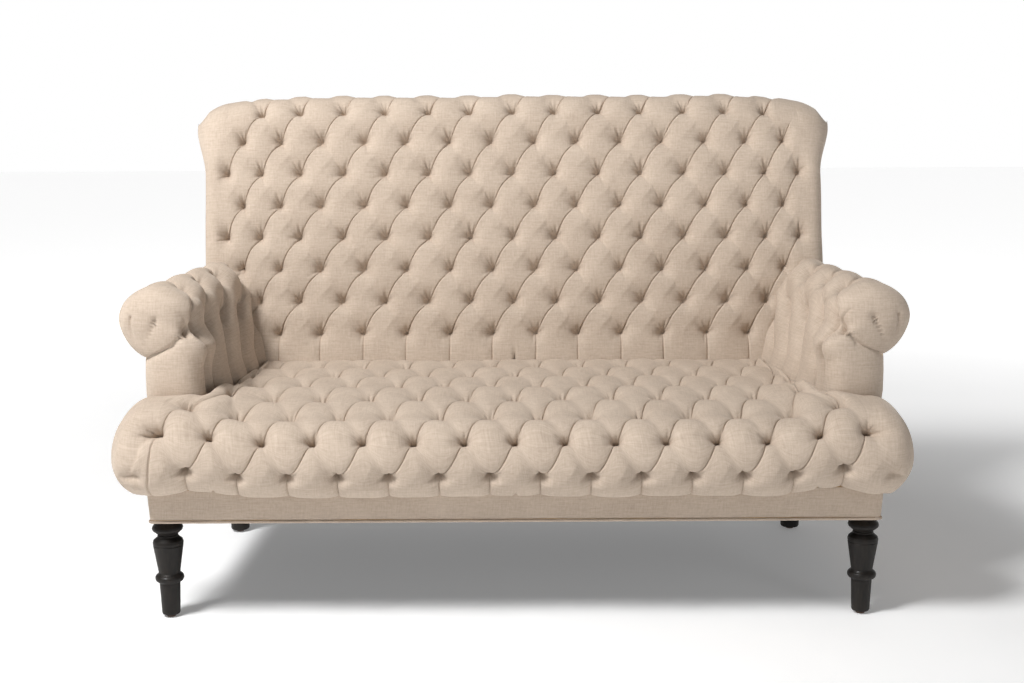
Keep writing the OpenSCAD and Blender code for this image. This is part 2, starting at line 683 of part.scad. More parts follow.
module arm_roll_core(side) {
    color(raw_wood) arm_place(side) translate([0, arm_l - stump_t, arm_z]) rotate([90, 0, 0])
        cylinder(r = arm_core_r, h = arm_l - 2 * stump_t - arm_front_t);
}

module left_arm_roll_core() { arm_roll_core(-1); }

module right_arm_roll_core() { arm_roll_core(1); }

// How far the top rail of the arm reaches below its core, and how far it stands in from the core's side
arm_rail_h = 45;
arm_rail_in = 6;

module arm_top_rail(side) {
    v0 = arm_front_t + stump_t;
    v1 = arm_l - stump_t;
    color(raw_wood) arm_place(side) difference() {
        translate([-arm_core_r + arm_rail_in, v0, arm_z - arm_core_r - arm_rail_h])
            cube([arm_core_r, v1 - v0, arm_rail_h + arm_core_r]);
        translate([0, v1 + 1, arm_z]) rotate([90, 0, 0]) cylinder(r = arm_core_r, h = v1 - v0 + 2);
    }
}

module left_arm_top_rail() { arm_top_rail(-1); }

module right_arm_top_rail() { arm_top_rail(1); }

module arm_inner_board(side) {
    t = 8;
    z1 = arm_z - arm_core_r * 0.6;
    function u(z, d) = arm_face_u(z, inner_depth(arm_core_r) + gap + d);
    color(ply) arm_place(side) along_arm(arm_front_t + stump_t, arm_l - stump_t)
        polygon([[u(rail_top, 0), rail_top], [u(rail_top, t), rail_top],
            [u(z1, t) - 0.5, z1], [u(z1, 0), z1]]);
}

module left_arm_inner_board() { arm_inner_board(-1); }

module right_arm_inner_board() { arm_inner_board(1); }

// Columns and rows of the arm's grid
arm_cols = concat([arm_front_t, arm_pitch / 4 + 6],
    [for (k = [2:floor((arm_l - 6) / (arm_pitch / 4))]) k * arm_pitch / 4], [arm_l]);
arm_low_s = arm_len_s - (arm_z - arm_lower_row) / cos(arm_lean) + arm_roll_r * tan(arm_lean);
arm_steps = concat([0, arm_low_s - arm_row / 2], [for (k = [0:4]) arm_low_s + k * arm_row / 2],
    [for (f = [1:5]) arm_low_s + 2 * arm_row + f / 5 * (arm_len_s + arm_arc - arm_low_s - 2 * arm_row)]);

module arm_tufted_pad(side) {
    n = len(arm_cols) - 1;
    m = len(arm_steps) - 1;
    depth = [for (j = [0:m]) [for (i = [0:n])
        let (row = clamp(3 - (arm_steps[j] - arm_low_s) / arm_row, 1, 3))
        let (tuft = back_tuft * (1 - relief(arm_cols[i] / arm_pitch, row)))
        (i == 0 ? 3 : tuft * (row == 1 && j > 6 ? pleat_fade : 1)) + (j == m ? 5 : 0)]];
    ks = concat([0], [for (k = [4:4:n - 2]) k], [n]);
    color(linen) arm_place(side) mirror([1, -1, 0])
        rolled_pad(arm_cols, ks, arm_steps, depth, [0, arm_z], arm_roll_r, arm_lean, arm_len_s,
            inner_depth(arm_core_r));
}

module left_arm_tufted_pad() { arm_tufted_pad(-1); }

module right_arm_tufted_pad() { arm_tufted_pad(1); }

// Smooth padded front of the arm, rounded towards its edges
module arm_front_pad(side) {
    base = foam_top + 1;
    // Rings of the pad as [along the arm, in from its outline, lowest level]
    rings = [[arm_front_t, 3, base], [arm_front_t * 0.4, 5, base], [arm_front_t * 0.1, 11, base],
        [0, 18, base], [-0.75 * arm_bulge, 38, seat_h + 16]];
    last = len(rings) - 1;
    function ring(v, d, low) = concat(
        [[arm_face_u(low, d), v, low]],
        [for (a = [arm_lean:(180 - arm_lean) / 10:180.1])
            [-(arm_roll_r - d) * cos(a), v, arm_z + (arm_roll_r - d) * sin(a)]],
        [for (a = [200:20:arm_end_angle + 90])
            [-(arm_roll_r - d) * cos(a), v, arm_z + (arm_roll_r - d) * sin(a)]],
        [[arm_side - d, v, panel_top], [side_x(arm_y) - arm_x - d, v, low]]);
    hub = [-arm_side / 2, arm_z - arm_roll_r / 2];
    outline = [for (r = rings) each ring(r[0], r[1], r[2])];
    k = len(outline) / len(rings);
    centre = len(outline);
    points = concat(outline, [[hub[0], arm_front_t, hub[1]], [hub[0], -arm_bulge, hub[1]]]);
    faces = concat(
        [for (j = [0:last - 1]) for (i = [0:k - 1]) let (a = j * k + i, b = j * k + (i + 1) % k)
            each [[a, b, b + k], [a, b + k, a + k]]],
        [for (i = [0:k - 1]) let (next = (i + 1) % k) each
            [[next, i, centre], [last * k + i, last * k + next, centre + 1]]]);
    color(linen) arm_place(side) polyhedron(points, faces);
}

module left_arm_front_pad() { arm_front_pad(-1); }

module right_arm_front_pad() { arm_front_pad(1); }

// Outside of the arm, from under the roll down over the side rail, with the cover of its rear end
module arm_outside_panel(side) {
    ends = [arm_y + gap, post_front - gap];
    function line(y, o) = [
        [side_x(y) + o, y, leg_h], [side_x(y) + o, y, rail_top],
        [roll_x(y) + arm_side / cos(arm_splay) + gap + o, y, panel_top]];
    points = [for (y = ends) each concat(line(y, 0), line(y, panel_t))];
    quads = [[0, 1, 4, 3], [1, 2, 5, 4], [6, 9, 10, 7], [7, 10, 11, 8], [0, 6, 7, 1], [1, 7, 8, 2],
        [3, 4, 10, 9], [4, 5, 11, 10], [0, 3, 9, 6], [2, 8, 11, 5]];
    color(linen) {
        mirror([side > 0 ? 0 : 1, 0, 0])
            polyhedron(points, [for (f = quads) each [[f[0], f[1], f[2]], [f[0], f[2], f[3]]]]);
        arm_place(side) along_arm(arm_l, arm_l + panel_t) arm_outline(2, rail_top, arm_side, 2);
    }
}

module left_arm_outside_panel() { arm_outside_panel(-1); }

module right_arm_outside_panel() { arm_outside_panel(1); }

// Legs

nail_d = 3;
nail_l = 14;
pin_h = 24;

// Hole for the bolt from above and for the glide's nail from below
module leg_holes() {
    translate([0, 0, leg_h - pin_h]) cylinder(d = bolt_d, h = pin_h + 1);
    translate([0, 0, glide_t - 1]) cylinder(d = nail_d, h = nail_l + 1);
}

// Half profile of the turned front leg, from its foot up
function front_leg_profile() =
    let (z = leg_h / 226, k = leg_r / 33, f = foot_r / 19.5)
    concat([[0, glide_t], [foot_r - 4, glide_t], [foot_r - 1.2, glide_t + 1.4], [foot_r, glide_t + 4.5],
        [22.1 * f, 77 * z]],
        [for (a = [-70:20:70]) [(22.5 + 8.3 * cos(a)) * k, (87.4 + 8.6 * sin(a)) * z]],
        [[22.8 * k, 99 * z], [32 * k, 160 * z], [31.2 * k, 161.5 * z], [32.2 * k, 163 * z],
        [32.6 * k, 167 * z], [31 * k, 172 * z], [24.5 * k, 177.5 * z], [21.5 * k, 179.5 * z],
        [22.3 * k, 181 * z], [21.8 * k, 183 * z], [19.8 * k, 184.5 * z], [20.2 * k, 186 * z],
        [25 * k, 188.5 * z], [31.6 * k, 194.5 * z], [33 * k, 198.5 * z], [31.8 * k, 202.5 * z],
        [26 * k, 210.5 * z], [23 * k, 217 * z], [23 * k, leg_h], [0, leg_h]]);

module front_leg(k) {
    axis = leg_axes()[k];
    color(dark_wood) translate([axis[0], axis[1], 0]) difference() {
        rotate_extrude($fn = 64) polygon(front_leg_profile());
        leg_holes();
    }
}

module left_front_leg() { front_leg(0); }

module right_front_leg() { front_leg(1); }

module rear_leg(k) {
    axis = leg_axes()[k];
    r = rear_foot_r;
    color(dark_wood) translate([axis[0], axis[1], 0]) difference() {
        rotate_extrude($fn = 64) polygon([[0, glide_t], [r - 4, glide_t], [r - 1.2, glide_t + 1.4],
            [r, glide_t + 4.5], [rear_top_r, leg_h - 12], [rear_top_r - 1.5, leg_h], [0, leg_h]]);
        leg_holes();
    }
}

module left_rear_leg() { rear_leg(2); }

module right_rear_leg() { rear_leg(3); }

module hanger_bolts() {
    color(steel) for (a = leg_axes()) translate([a[0], a[1], leg_h - pin_h])
        cylinder(d = bolt_d, h = pin_h + bolt_up);
}

module tee_nuts() {
    color(steel) for (a = leg_axes()) translate([a[0], a[1], leg_h + bolt_up - nut_t]) difference() {
        cylinder(d = bolt_d + 8, h = nut_t);
        translate([0, 0, -1]) cylinder(d = bolt_d, h = nut_t + 2);
    }
}

module glides() {
    color([0.36, 0.24, 0.15]) for (a = leg_axes()) translate([a[0], a[1], 0]) {
        cylinder(d1 = glide_d - 3, d2 = glide_d, h = glide_t);
        cylinder(d = nail_d, h = glide_t + nail_l);
    }
}

front_rail();
rear_rail();
left_side_rail();
right_side_rail();
centre_rail();
corner_blocks();
seat_webbing_long();
seat_webbing_cross();
seat_springs();
seat_burlap();
seat_foam();
seat_tufted_pad();
front_border();
welt_cord();
dust_cover();
left_back_post();
right_back_post();
back_top_rail();
back_tack_rail();
back_slats();
back_roll_core();
back_burlap();
back_foam();
back_tufted_pad();
left_back_side();
right_back_side();
outside_back_panel();
left_arm_front_board();
left_arm_rear_board();
left_arm_roll_core();
left_arm_top_rail();
left_arm_inner_board();
left_arm_tufted_pad();
left_arm_front_pad();
left_arm_outside_panel();
right_arm_front_board();
right_arm_rear_board();
right_arm_roll_core();
right_arm_top_rail();
right_arm_inner_board();
right_arm_tufted_pad();
right_arm_front_pad();
right_arm_outside_panel();
left_front_leg();
right_front_leg();
left_rear_leg();
right_rear_leg();
hanger_bolts();
tee_nuts();
glides();
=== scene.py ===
# Looks of the tufted settee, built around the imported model; lengths below are in millimetres
import json
import math

import bmesh
import bpy
import numpy as np
from mathutils import Matrix, Vector


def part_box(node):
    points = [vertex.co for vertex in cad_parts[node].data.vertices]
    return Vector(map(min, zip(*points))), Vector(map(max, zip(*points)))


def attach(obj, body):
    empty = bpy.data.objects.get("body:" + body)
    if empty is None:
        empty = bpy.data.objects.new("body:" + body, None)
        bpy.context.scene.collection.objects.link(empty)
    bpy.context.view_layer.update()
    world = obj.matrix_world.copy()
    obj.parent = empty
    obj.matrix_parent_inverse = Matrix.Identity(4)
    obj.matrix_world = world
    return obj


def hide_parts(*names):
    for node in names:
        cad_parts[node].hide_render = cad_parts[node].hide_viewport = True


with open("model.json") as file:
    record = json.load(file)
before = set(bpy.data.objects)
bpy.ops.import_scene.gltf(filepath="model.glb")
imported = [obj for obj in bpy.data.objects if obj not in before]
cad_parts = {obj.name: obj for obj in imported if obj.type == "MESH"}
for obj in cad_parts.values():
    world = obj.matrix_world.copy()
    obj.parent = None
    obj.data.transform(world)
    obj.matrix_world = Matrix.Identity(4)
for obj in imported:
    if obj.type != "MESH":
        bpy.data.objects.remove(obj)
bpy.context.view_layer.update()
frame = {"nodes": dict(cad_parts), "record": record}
MM = 0.001

# The same sizes as in the part's source
FRAME_W, FRAME_D, FRAME_TAPER = 1552, 715, 34
FRONT_Y, POST_REAR, POST_FRONT = -365, 350, 315
SEAT_FRONT, SEAT_REAR, SEAT_H, FOAM_TOP = -440, 176, 475, 372
NOSE_R, NOSE_Z, NOSE_LOW = 85, 353, 285
LEG_H, RAIL_TOP = 226, 320
BACK_Y, BACK_Z, BACK_R, BACK_HALF, BACK_LEAN = 372, 1047, 68, 765, 45
ARM_X, ARM_Y, ARM_Z, ARM_R, ARM_INNER = 780, -287, 647, 73, 120
CORNER_R, PANEL_T, WELT_R = 10, 4, 3
SPLAY = math.radians(6.5)


def side_x(y):
    return FRAME_W / 2 - FRAME_TAPER * (y - FRONT_Y) / FRAME_D


def smooth(v, low, high):
    t = np.clip((np.asarray(v, float) - low) / (high - low), 0, 1)
    return t * t * (3 - 2 * t)


def dome(v, edge):
    """Depth of a rounded edge, v from 0 where it starts to 1 at its end."""
    return edge * (1 - np.sqrt(np.maximum(0, 1 - np.clip(v, 0, 1) ** 2)))


# Meshes


def mesh_piece(name, points, uv, keep=None, flip=False, extra=()):
    """A mesh from one or more grids of points, each [row, column, xyz] in millimetres."""
    grids = [(points, uv, keep)] + list(extra)
    verts, uvs, faces, base = [], [], [], 0
    for pts, tex, mask in grids:
        rows, cols = pts.shape[:2]
        index = np.arange(rows * cols).reshape(rows, cols) + base
        a, b = index[:-1, :-1], index[:-1, 1:]
        c, d = index[1:, 1:], index[1:, :-1]
        tri = np.stack([np.stack([a, b, c], -1), np.stack([a, c, d], -1)], 2)
        if mask is not None:
            tri = tri[mask]
        faces.append(tri.reshape(-1, 3))
        verts.append(pts.reshape(-1, 3))
        uvs.append(tex.reshape(-1, 2))
        base += rows * cols
    verts, uvs, faces = np.concatenate(verts), np.concatenate(uvs), np.concatenate(faces)
    if flip:
        faces = faces[:, ::-1]
    used = np.unique(faces)
    place = np.full(len(verts), -1)
    place[used] = np.arange(len(used))
    faces, verts, uvs = place[faces], verts[used], uvs[used]
    mesh = bpy.data.meshes.new(name)
    mesh.vertices.add(len(verts))
    mesh.vertices.foreach_set("co", (verts * MM).astype(np.float32).ravel())
    mesh.loops.add(faces.size)
    mesh.loops.foreach_set("vertex_index", faces.astype(np.int32).ravel())
    mesh.polygons.add(len(faces))
    mesh.polygons.foreach_set("loop_start", np.arange(0, faces.size, 3, dtype=np.int32))
    mesh.polygons.foreach_set("use_smooth", np.ones(len(faces), bool))
    layer = mesh.uv_layers.new(name="Cloth")
    layer.data.foreach_set("uv", (uvs[faces.ravel()] * MM).astype(np.float32).ravel())
    mesh.update(calc_edges=True)
    mesh.validate()
    piece = bpy.data.objects.new(name, mesh)
    bpy.context.scene.collection.objects.link(piece)
    return piece


def weld(piece, distance):
    """Joins points that lie within the distance of each other."""
    bm = bmesh.new()
    bm.from_mesh(piece.data)
    bmesh.ops.remove_doubles(bm, verts=bm.verts, dist=distance * MM)
    bm.to_mesh(piece.data)
    bm.free()


# The tufts

# How strongly the mesh is drawn together at the pleats
TIGHTER = 0.68
# Widths of a tuft's mouth and of its core, and the share of its depth that the core has
MOUTH, CORE, CORE_SHARE = 22, 8, 0.54
# Depth and width of the fold on each pleat, and how far the cloth rises on one side and drops on the other
FOLD, FOLD_WIDTH, LIP_RISE, LIP_DROP = 3.2, 1.5, 2.6, 1.1
# The gathers' depth and their shortest and longest length, and each one's angle in degrees and strength
GATHER_DEPTH, GATHER_SHORT, GATHER_LONG = 5.2, 24, 44
GATHERS = ((66, 1), (92, 1.15), (116, 1.2), (142, 1.15), (168, 1.1), (196, 0.9),
           (222, 0.6), (20, 0.8), (-66, 0.6))
# How many different tufts and pillows there are before they repeat
TUFT_KINDS, PILLOW_KINDS = 64, 97
# Hollows deeper than the first of these are eased, and none is deeper than the second
EASED, PADDING = 25, 38


def wander(x, y, seed, size, amount):
    """Slow seeded wave that keeps a pattern from looking machine-made."""
    rng = np.random.default_rng(seed)
    out = np.zeros(np.broadcast(x, y).shape)
    for _ in range(5):
        fx, fy = rng.normal(0, 2 * math.pi / size, 2)
        out += np.sin(fx * x + fy * y + rng.uniform(0, 6.3))
    return amount * out / 2.2


def tuft_grid(t, r, t_end, r_low, r_high, bow=0.06):
    """Draws a plain grid's points together at the pleats and tufts. Returns the two diagonal coordinates,
    whose whole numbers are the pleats, then each point's new column and row, with the pleats bowed to the
    upper left, and then how far it lies beyond the outermost column and row of tufts."""
    tc, rc = np.clip(t, -t_end, t_end), np.clip(r, r_low, r_high)
    a, b = tc + (rc - 1) / 2, tc - (rc - 1) / 2
    a = a - TIGHTER * np.sin(2 * np.pi * a) / (2 * np.pi)
    b = b - TIGHTER * np.sin(2 * np.pi * b) / (2 * np.pi)
    shift = bow * np.sin(np.pi * b) ** 2 * (1 - smooth(np.abs(r - rc) + np.abs(t - tc), 0, 0.6))
    column = (a + b) / 2 + t - tc - shift / 2
    row = 1 + a - b + r - rc - shift
    return a, b, column, row, t - tc, r - rc


def tuft_height(grid, pitch, row, depth, valley, seed):
    """Height of the cloth in millimetres: about 0 on a pillow, and about -depth in a tuft."""
    a, b, _, _, t_out, r_out = grid
    rng = np.random.default_rng(seed)
    ia, ib = np.round(a), np.round(b)
    ta, tb = a - ia, b - ib
    across = pitch * row / math.hypot(pitch / 2, row)
    da, db = ta * across, tb * across
    dx = pitch * ((ta + tb) / 2 + t_out)
    dy = row * (tb - ta - r_out)
    rho, theta = np.hypot(dx, dy), np.arctan2(dy, dx)
    # Each tuft takes its own entry from a table of random values
    key = (ia.astype(int) * 31 + ib.astype(int) * 17) % TUFT_KINDS
    # A deep pocket with a soft mouth, drawn out a little to its upper left
    mouth = MOUTH * (1 + 0.25 * np.cos(theta - 2.2))
    pocket = (1 - CORE_SHARE) * np.exp(-(rho / mouth) ** 1.5) + CORE_SHARE * np.exp(-(rho / CORE) ** 1.6)
    h = -depth * pocket * rng.normal(1, 0.06, TUFT_KINDS)[key]
    # Shallow valleys between the pillows
    between = 0.62 * np.exp(-np.abs(da) / 12) + 0.38 * np.exp(-(db / 13) ** 2)
    h = h - valley * between * (1 - 0.75 * smooth(np.abs(t_out), 0, 0.3))
    # The fold of cloth on each "/" line, with its lip
    straight = np.maximum(np.abs(np.sin(np.pi * b)), smooth(np.abs(r_out), 0.05, 0.5))
    lip = np.where(da > 0, LIP_RISE, -LIP_DROP) * np.exp(-np.abs(da) / 7)
    lip = lip * straight * smooth(np.abs(da), 0, 1.2)
    fold = FOLD * np.exp(-(da / FOLD_WIDTH) ** 2) - lip
    h = h - fold * (1 - 0.85 * smooth(np.abs(t_out), 0, 0.2))
    # Fine gathers that run out from each tuft
    for angle, strength in GATHERS:
        turn = np.radians(angle + rng.normal(0, 9, TUFT_KINDS)[key])
        length = rng.uniform(GATHER_SHORT, GATHER_LONG, TUFT_KINDS)[key]
        off = np.angle(np.exp(1j * (theta - turn)))
        side = rho * np.sin(off)
        ray = np.exp(-(side / (1.0 + 0.06 * rho)) ** 2) * (np.abs(off) < 1.3)
        ray = ray * smooth(rho, 1, 6) * (1 - smooth(rho, 0.3 * length, length))
        h = h - GATHER_DEPTH * strength * rng.uniform(0.55, 1.15, TUFT_KINDS)[key] * ray
    # No two pillows are stuffed alike
    cell = (np.floor(a).astype(int) * 37 + np.floor(b).astype(int) * 11) % PILLOW_KINDS
    return h + rng.normal(0, 1.0, PILLOW_KINDS)[cell] * np.abs(np.sin(np.pi * a) * np.sin(np.pi * b))


def limited(height):
    """Eases deep hollows, so that they stay within the padding."""
    room = PADDING - EASED
    return np.where(height < -EASED, -EASED - room * (1 - np.exp((height + EASED) / room)), height)


def raised(points, height):
    """Moves a grid's points by the height along its own normals."""
    along, up = np.gradient(points, axis=1), np.gradient(points, axis=0)
    normal = np.cross(along, up)
    normal = normal / np.maximum(np.linalg.norm(normal, axis=-1, keepdims=True), 1e-9)
    return points + normal * height[..., None]


# The cross-section that the back and the arms share: a straight face and a roll


def roll_section(c, r, lean, length, s, d):
    """Points [out, up] at the distance s up the face and round the roll, d below the crown."""
    turn = lean + np.maximum(0, s - length) / r
    left = np.maximum(0, length - s)
    out = c[0] - (r - d) * np.cos(turn) - left * math.sin(lean)
    up = c[1] + (r - d) * np.sin(turn) - left * math.cos(lean)
    return out, up


def tangent_section(c, r, foot):
    """Lean and length of the straight line from the foot point that touches the roll."""
    dx, dy = c[0] - foot[0], c[1] - foot[1]
    reach = math.hypot(dx, dy)
    return math.atan2(dx, dy) - math.asin(r / reach), math.sqrt(reach ** 2 - r ** 2)


# Back

BACK_RAKE, BACK_LINE = tangent_section((BACK_Y, BACK_Z), BACK_R, (SEAT_REAR, SEAT_H))
BACK_LEN = BACK_LINE + (SEAT_H - FOAM_TOP) / math.cos(BACK_RAKE)
BACK_ARC = (math.radians(252) - BACK_RAKE) * BACK_R
BACK_PITCH, BACK_ROW, BACK_ROWS, LAST_TUFT = 106, 80, 8, 7
BACK_TUFT, BACK_VALLEY, BACK_CELLS = 35, 5.0, 17
BACK_LOW = BACK_LEN - BACK_LINE + 62
# Half widths, and the radii with which the cloth turns round the side, of the back's body and of its roll
BODY_HALF, BODY_TURN = BACK_HALF + 5, 34
ROLL_HALF, ROLL_TURN = BACK_HALF + 32, 82
# Behind the arms the padding is narrower, and a plain strip covers the post up to this height
BEHIND_ARM, STRIP_TOP = 738, 700
# How much lower the roll lies towards its ends, by the distance from the middle
BACK_DROP_X = [520, 600, 680, 730, 765, 790]
BACK_DROP = [0, 3, 11, 20, 27, 50]


def back_tuft_x(t):
    """Place of a tuft column; the outer ones stand closer."""
    a = np.abs(t)
    return np.sign(t) * BACK_PITCH * (a - 0.075 * np.maximum(0, a - 5) ** 2)


def outside_y(z):
    return POST_REAR + BACK_LEAN * (z - LEG_H) / (BACK_Z - LEG_H)


def outside_depth(y, z):
    """Distance from a point of the back's face, square to it, to the outside back."""
    slope = BACK_LEAN / (BACK_Z - LEG_H)
    return (POST_REAR + slope * (z - LEG_H) - y) / (math.cos(BACK_RAKE) + slope * math.sin(BACK_RAKE))


def both_sides(x, y, z):
    """A grid for the right side and its mirror image for the left, as extra grids for mesh_piece."""
    pair = []
    for side in (-1, 1):
        points = np.stack([side * x, y, z], -1)[:, ::side]
        pair.append((points, points[..., 1:], None))
    return pair


def post_strips():
    """Behind the arms a plain strip runs round the post's side, down to the rail."""
    half = BACK_HALF + 4
    columns = [0, 0.01, 0.02, 0.08, 0.35, 0.65, 0.93, 1]
    z, part = np.meshgrid(np.linspace(LEG_H, STRIP_TOP, 40), columns, indexing="ij")
    x = np.interp(part, [0, 0.01, 0.02, 0.08, 0.93, 1], [BEHIND_ARM, 754, half - 3, half, half, half - 1])
    x[0] = np.minimum(x[0], BEHIND_ARM + 4)
    y = POST_FRONT - 1 + part * (outside_y(z) + 2 - POST_FRONT)
    return both_sides(x, y, z)


def roll_ends():
    """Below the roll's ends the cloth closes on the roll's middle."""
    turn, tip = np.linspace(240, 330, 14), np.linspace(0, math.pi / 2, 16)
    turn, tip = np.meshgrid(np.radians(turn), tip, indexing="ij")
    s = BACK_LEN + (turn - BACK_RAKE) * BACK_R
    y, z = roll_section((BACK_Y, BACK_Z), BACK_R, BACK_RAKE, BACK_LEN, s, BACK_R * (1 - np.cos(tip)))
    return both_sides(ROLL_HALF - 1 - ROLL_TURN + ROLL_TURN * np.sin(tip), y, z)


def make_back():
    t_in = np.linspace(-LAST_TUFT, LAST_TUFT, 2 * LAST_TUFT * 2 * BACK_CELLS + 1)
    edge = np.linspace(0, 1, 27)[1:]
    t = np.concatenate([-LAST_TUFT - edge[::-1], t_in, LAST_TUFT + edge])
    s_low = np.linspace(0, BACK_LOW, 12)[:-1]
    s_mid = BACK_LOW + BACK_ROW * np.linspace(0, BACK_ROWS, BACK_ROWS * BACK_CELLS + 1)
    s_top = np.linspace(s_mid[-1], BACK_LEN + BACK_ARC, 24)[1:]
    T, S = np.meshgrid(t, np.concatenate([s_low, s_mid, s_top]))
    grid = tuft_grid(T, BACK_ROWS - (S - BACK_LOW) / BACK_ROW, LAST_TUFT, 0, BACK_ROWS, 0.055)
    S = BACK_LOW + (BACK_ROWS - grid[3]) * BACK_ROW
    out = np.clip(np.abs(T) - LAST_TUFT, 0, 1)
    x_in = back_tuft_x(grid[2] - grid[4])
    x_in = x_in + wander(x_in, S, 3, 420, 1.6)
    # Beyond the last tufts the cloth runs to the side and turns round it, to the middle of the roll's end
    # or to the outside back
    on_roll = smooth(S, BACK_LEN - 135, BACK_LEN - 15)
    last = back_tuft_x(LAST_TUFT)
    flat, round_body = 0.30 - 0.14 * on_roll, 0.60
    wide = BODY_HALF + (ROLL_HALF - BODY_HALF) * on_roll
    turn_w = BODY_TURN + (ROLL_TURN - BODY_TURN) * on_roll
    deep = BODY_TURN + (BACK_R - BODY_TURN) * on_roll
    end = round_body + (1 - round_body) * on_roll
    phi = np.clip((out - flat) / (end - flat), 0, 1) * math.pi / 2
    x_out = last + (wide - turn_w - last) * np.clip(out / flat, 0, 1) + turn_w * np.sin(phi)
    x_out = np.sign(T) * x_out + (x_in - np.sign(T) * last) * (1 - smooth(out, 0, 0.5))
    x = np.where(np.abs(T) > LAST_TUFT, x_out, x_in)
    y0, z0 = roll_section((BACK_Y, BACK_Z), BACK_R, BACK_RAKE, BACK_LEN, S, 0)
    behind = outside_depth(y0, z0)
    far = behind + (BACK_R - behind) * smooth(S, BACK_LEN - 12, BACK_LEN)
    beyond = np.clip((out - end) / np.maximum(1 - end, 1e-3), 0, 1) * (on_roll < 0.999)
    d = deep * (1 - np.cos(phi))
    d = d + (far - d) * beyond
    y, z = roll_section((BACK_Y, BACK_Z), BACK_R, BACK_RAKE, BACK_LEN, S, d)
    drop = np.interp(np.abs(x), BACK_DROP_X, BACK_DROP) * smooth(z, 1000, 1105)
    z = z - drop * (1 - 0.5 * d / BACK_R)
    # Behind the arms the sides keep inside them
    inside = np.minimum(np.abs(x), BEHIND_ARM + 32 * smooth(z, 610, 690))
    x = np.where(z < 690, np.sign(x) * inside, x)
    height = tuft_height(grid, BACK_PITCH, BACK_ROW, BACK_TUFT, BACK_VALLEY, 11)
    # The tufting fades over the roll's rear, at the roll's ends and round the sides
    fade = 1 - 0.5 * smooth(-grid[3], 0, 0.9)
    fade = fade * (1 - 0.96 * smooth(np.abs(T), 6.15, 6.5) * (1 - smooth(grid[3], 1.35, 1.7)))
    fade = fade * (1 - 0.8 * smooth(out, 0.1, end))
    height = height * fade * (1 - beyond) + wander(T * BACK_PITCH, S, 4, 300, 0.9) * (1 - beyond)
    height = height - dome((S - BACK_LEN - BACK_ARC + 20) / 20, 6) * (out < 0.5)
    points = raised(np.stack([x, y, z], -1), limited(height))
    along = x_in + np.sign(T) * out * BACK_PITCH
    uv = np.stack([along, S], -1)
    piece = mesh_piece("back_cushion", points, uv, extra=post_strips() + roll_ends())
    finish_pad(piece, "back_tufted_pad", "left_back_side", "right_back_side")


def make_outside_back():
    part = np.concatenate([np.linspace(1, 0.97, 8), np.linspace(0.965, -0.965, 90),
                           np.linspace(-0.97, -1, 8)])
    part, rise = np.meshgrid(part, np.linspace(0, 1, 60))
    # The top edge tucks in below the roll, and runs up to close the roll's ends
    top = BACK_Z - BACK_R + 14
    end = smooth(np.abs(part), 0.9, 0.97)
    z = LEG_H + (top + 38 * end - LEG_H) * rise
    half = BODY_HALF - 0.5 + (ROLL_HALF - BODY_HALF) * smooth(z, BACK_Z - 150, BACK_Z - 30)
    edge = np.maximum(dome((np.abs(part) * half - half + 12) / 12, PANEL_T), dome((LEG_H + 8 - z) / 8, 3))
    x = part * half
    y = outside_y(z) + PANEL_T - edge + wander(x, z, 41, 500, 0.7)
    y = y - 10 * smooth(z, top - 9, top) * (1 - end)
    piece = mesh_piece("outside_back_cloth", np.stack([x, y, z], -1), np.stack([x, z], -1))
    finish_pad(piece, "outside_back_panel", fill=1.0)


def finish_pad(piece, *nodes, slot="linen", fill=0.8, padded=True):
    piece.data.materials.append(MATERIALS[slot])
    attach(piece, "root")
    if nodes:
        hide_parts(*nodes)


# Arms

ARM_LEAN, ARM_LINE = tangent_section((0, ARM_Z), ARM_R, (-ARM_INNER, SEAT_H))
ARM_LEN = ARM_LINE + (SEAT_H - FOAM_TOP) / math.cos(ARM_LEAN)
ARM_END = math.radians(257)
ARM_ARC = (ARM_END - ARM_LEAN) * ARM_R
ARM_ROW, ARM_PITCH, ARM_TUFT, ARM_VALLEY, ARM_CELLS = 78, 106, 36, 16, 16
ARM_LOW = ARM_LEN - (ARM_Z - 600) / math.cos(ARM_LEAN) + ARM_R * math.tan(ARM_LEAN)


def arm_pattern(q, s):
    """Tuft grid at q along the arm and s up it, and how far it is shifted along and up: below the lower
    tufts the pleats lean to the front, and that row falls to the rear."""
    lean = -(30 + 0.18 * q) * np.clip((s - ARM_LOW + 130) / 130, 0, 1)
    fall = (5 + 0.065 * np.maximum(q, 0)) * np.clip((ARM_LOW + ARM_ROW - s) / ARM_ROW, 0, 1)
    grid = tuft_grid((q + lean) / ARM_PITCH, 3 - (s + fall - ARM_LOW) / ARM_ROW, 99, 1, 3)
    return grid, lean, fall


def arm_face_u(z):
    return -ARM_R / math.cos(ARM_LEAN) - (ARM_Z - z) * math.tan(ARM_LEAN)


ARM_FOOT_Y = ARM_Y - arm_face_u(FOAM_TOP) * math.sin(SPLAY)
ARM_L = (POST_FRONT - ARM_FOOT_Y) / math.cos(SPLAY) - ARM_R * math.tan(SPLAY) - 4.3


def inner_x(y, z):
    return ARM_X - (y - ARM_FOOT_Y) * math.tan(SPLAY) + arm_face_u(z) / math.cos(SPLAY)


def arm_place(side, u, v, z):
    x = ARM_X + u * math.cos(SPLAY) - v * math.sin(SPLAY)
    y = ARM_FOOT_Y + u * math.sin(SPLAY) + v * math.cos(SPLAY)
    return np.stack([side * x, y, z + 0 * x], -1)


# Where the arm's front starts to turn in, how far it stands out, and its outer edge above the seat
FACE_START, FACE_PROUD, SIDE_U = 38, 12, 24
FACE_OUT = np.array([math.sin(SPLAY), -math.cos(SPLAY), 0])
CORNER_TUFT = (-86, 6, 620)
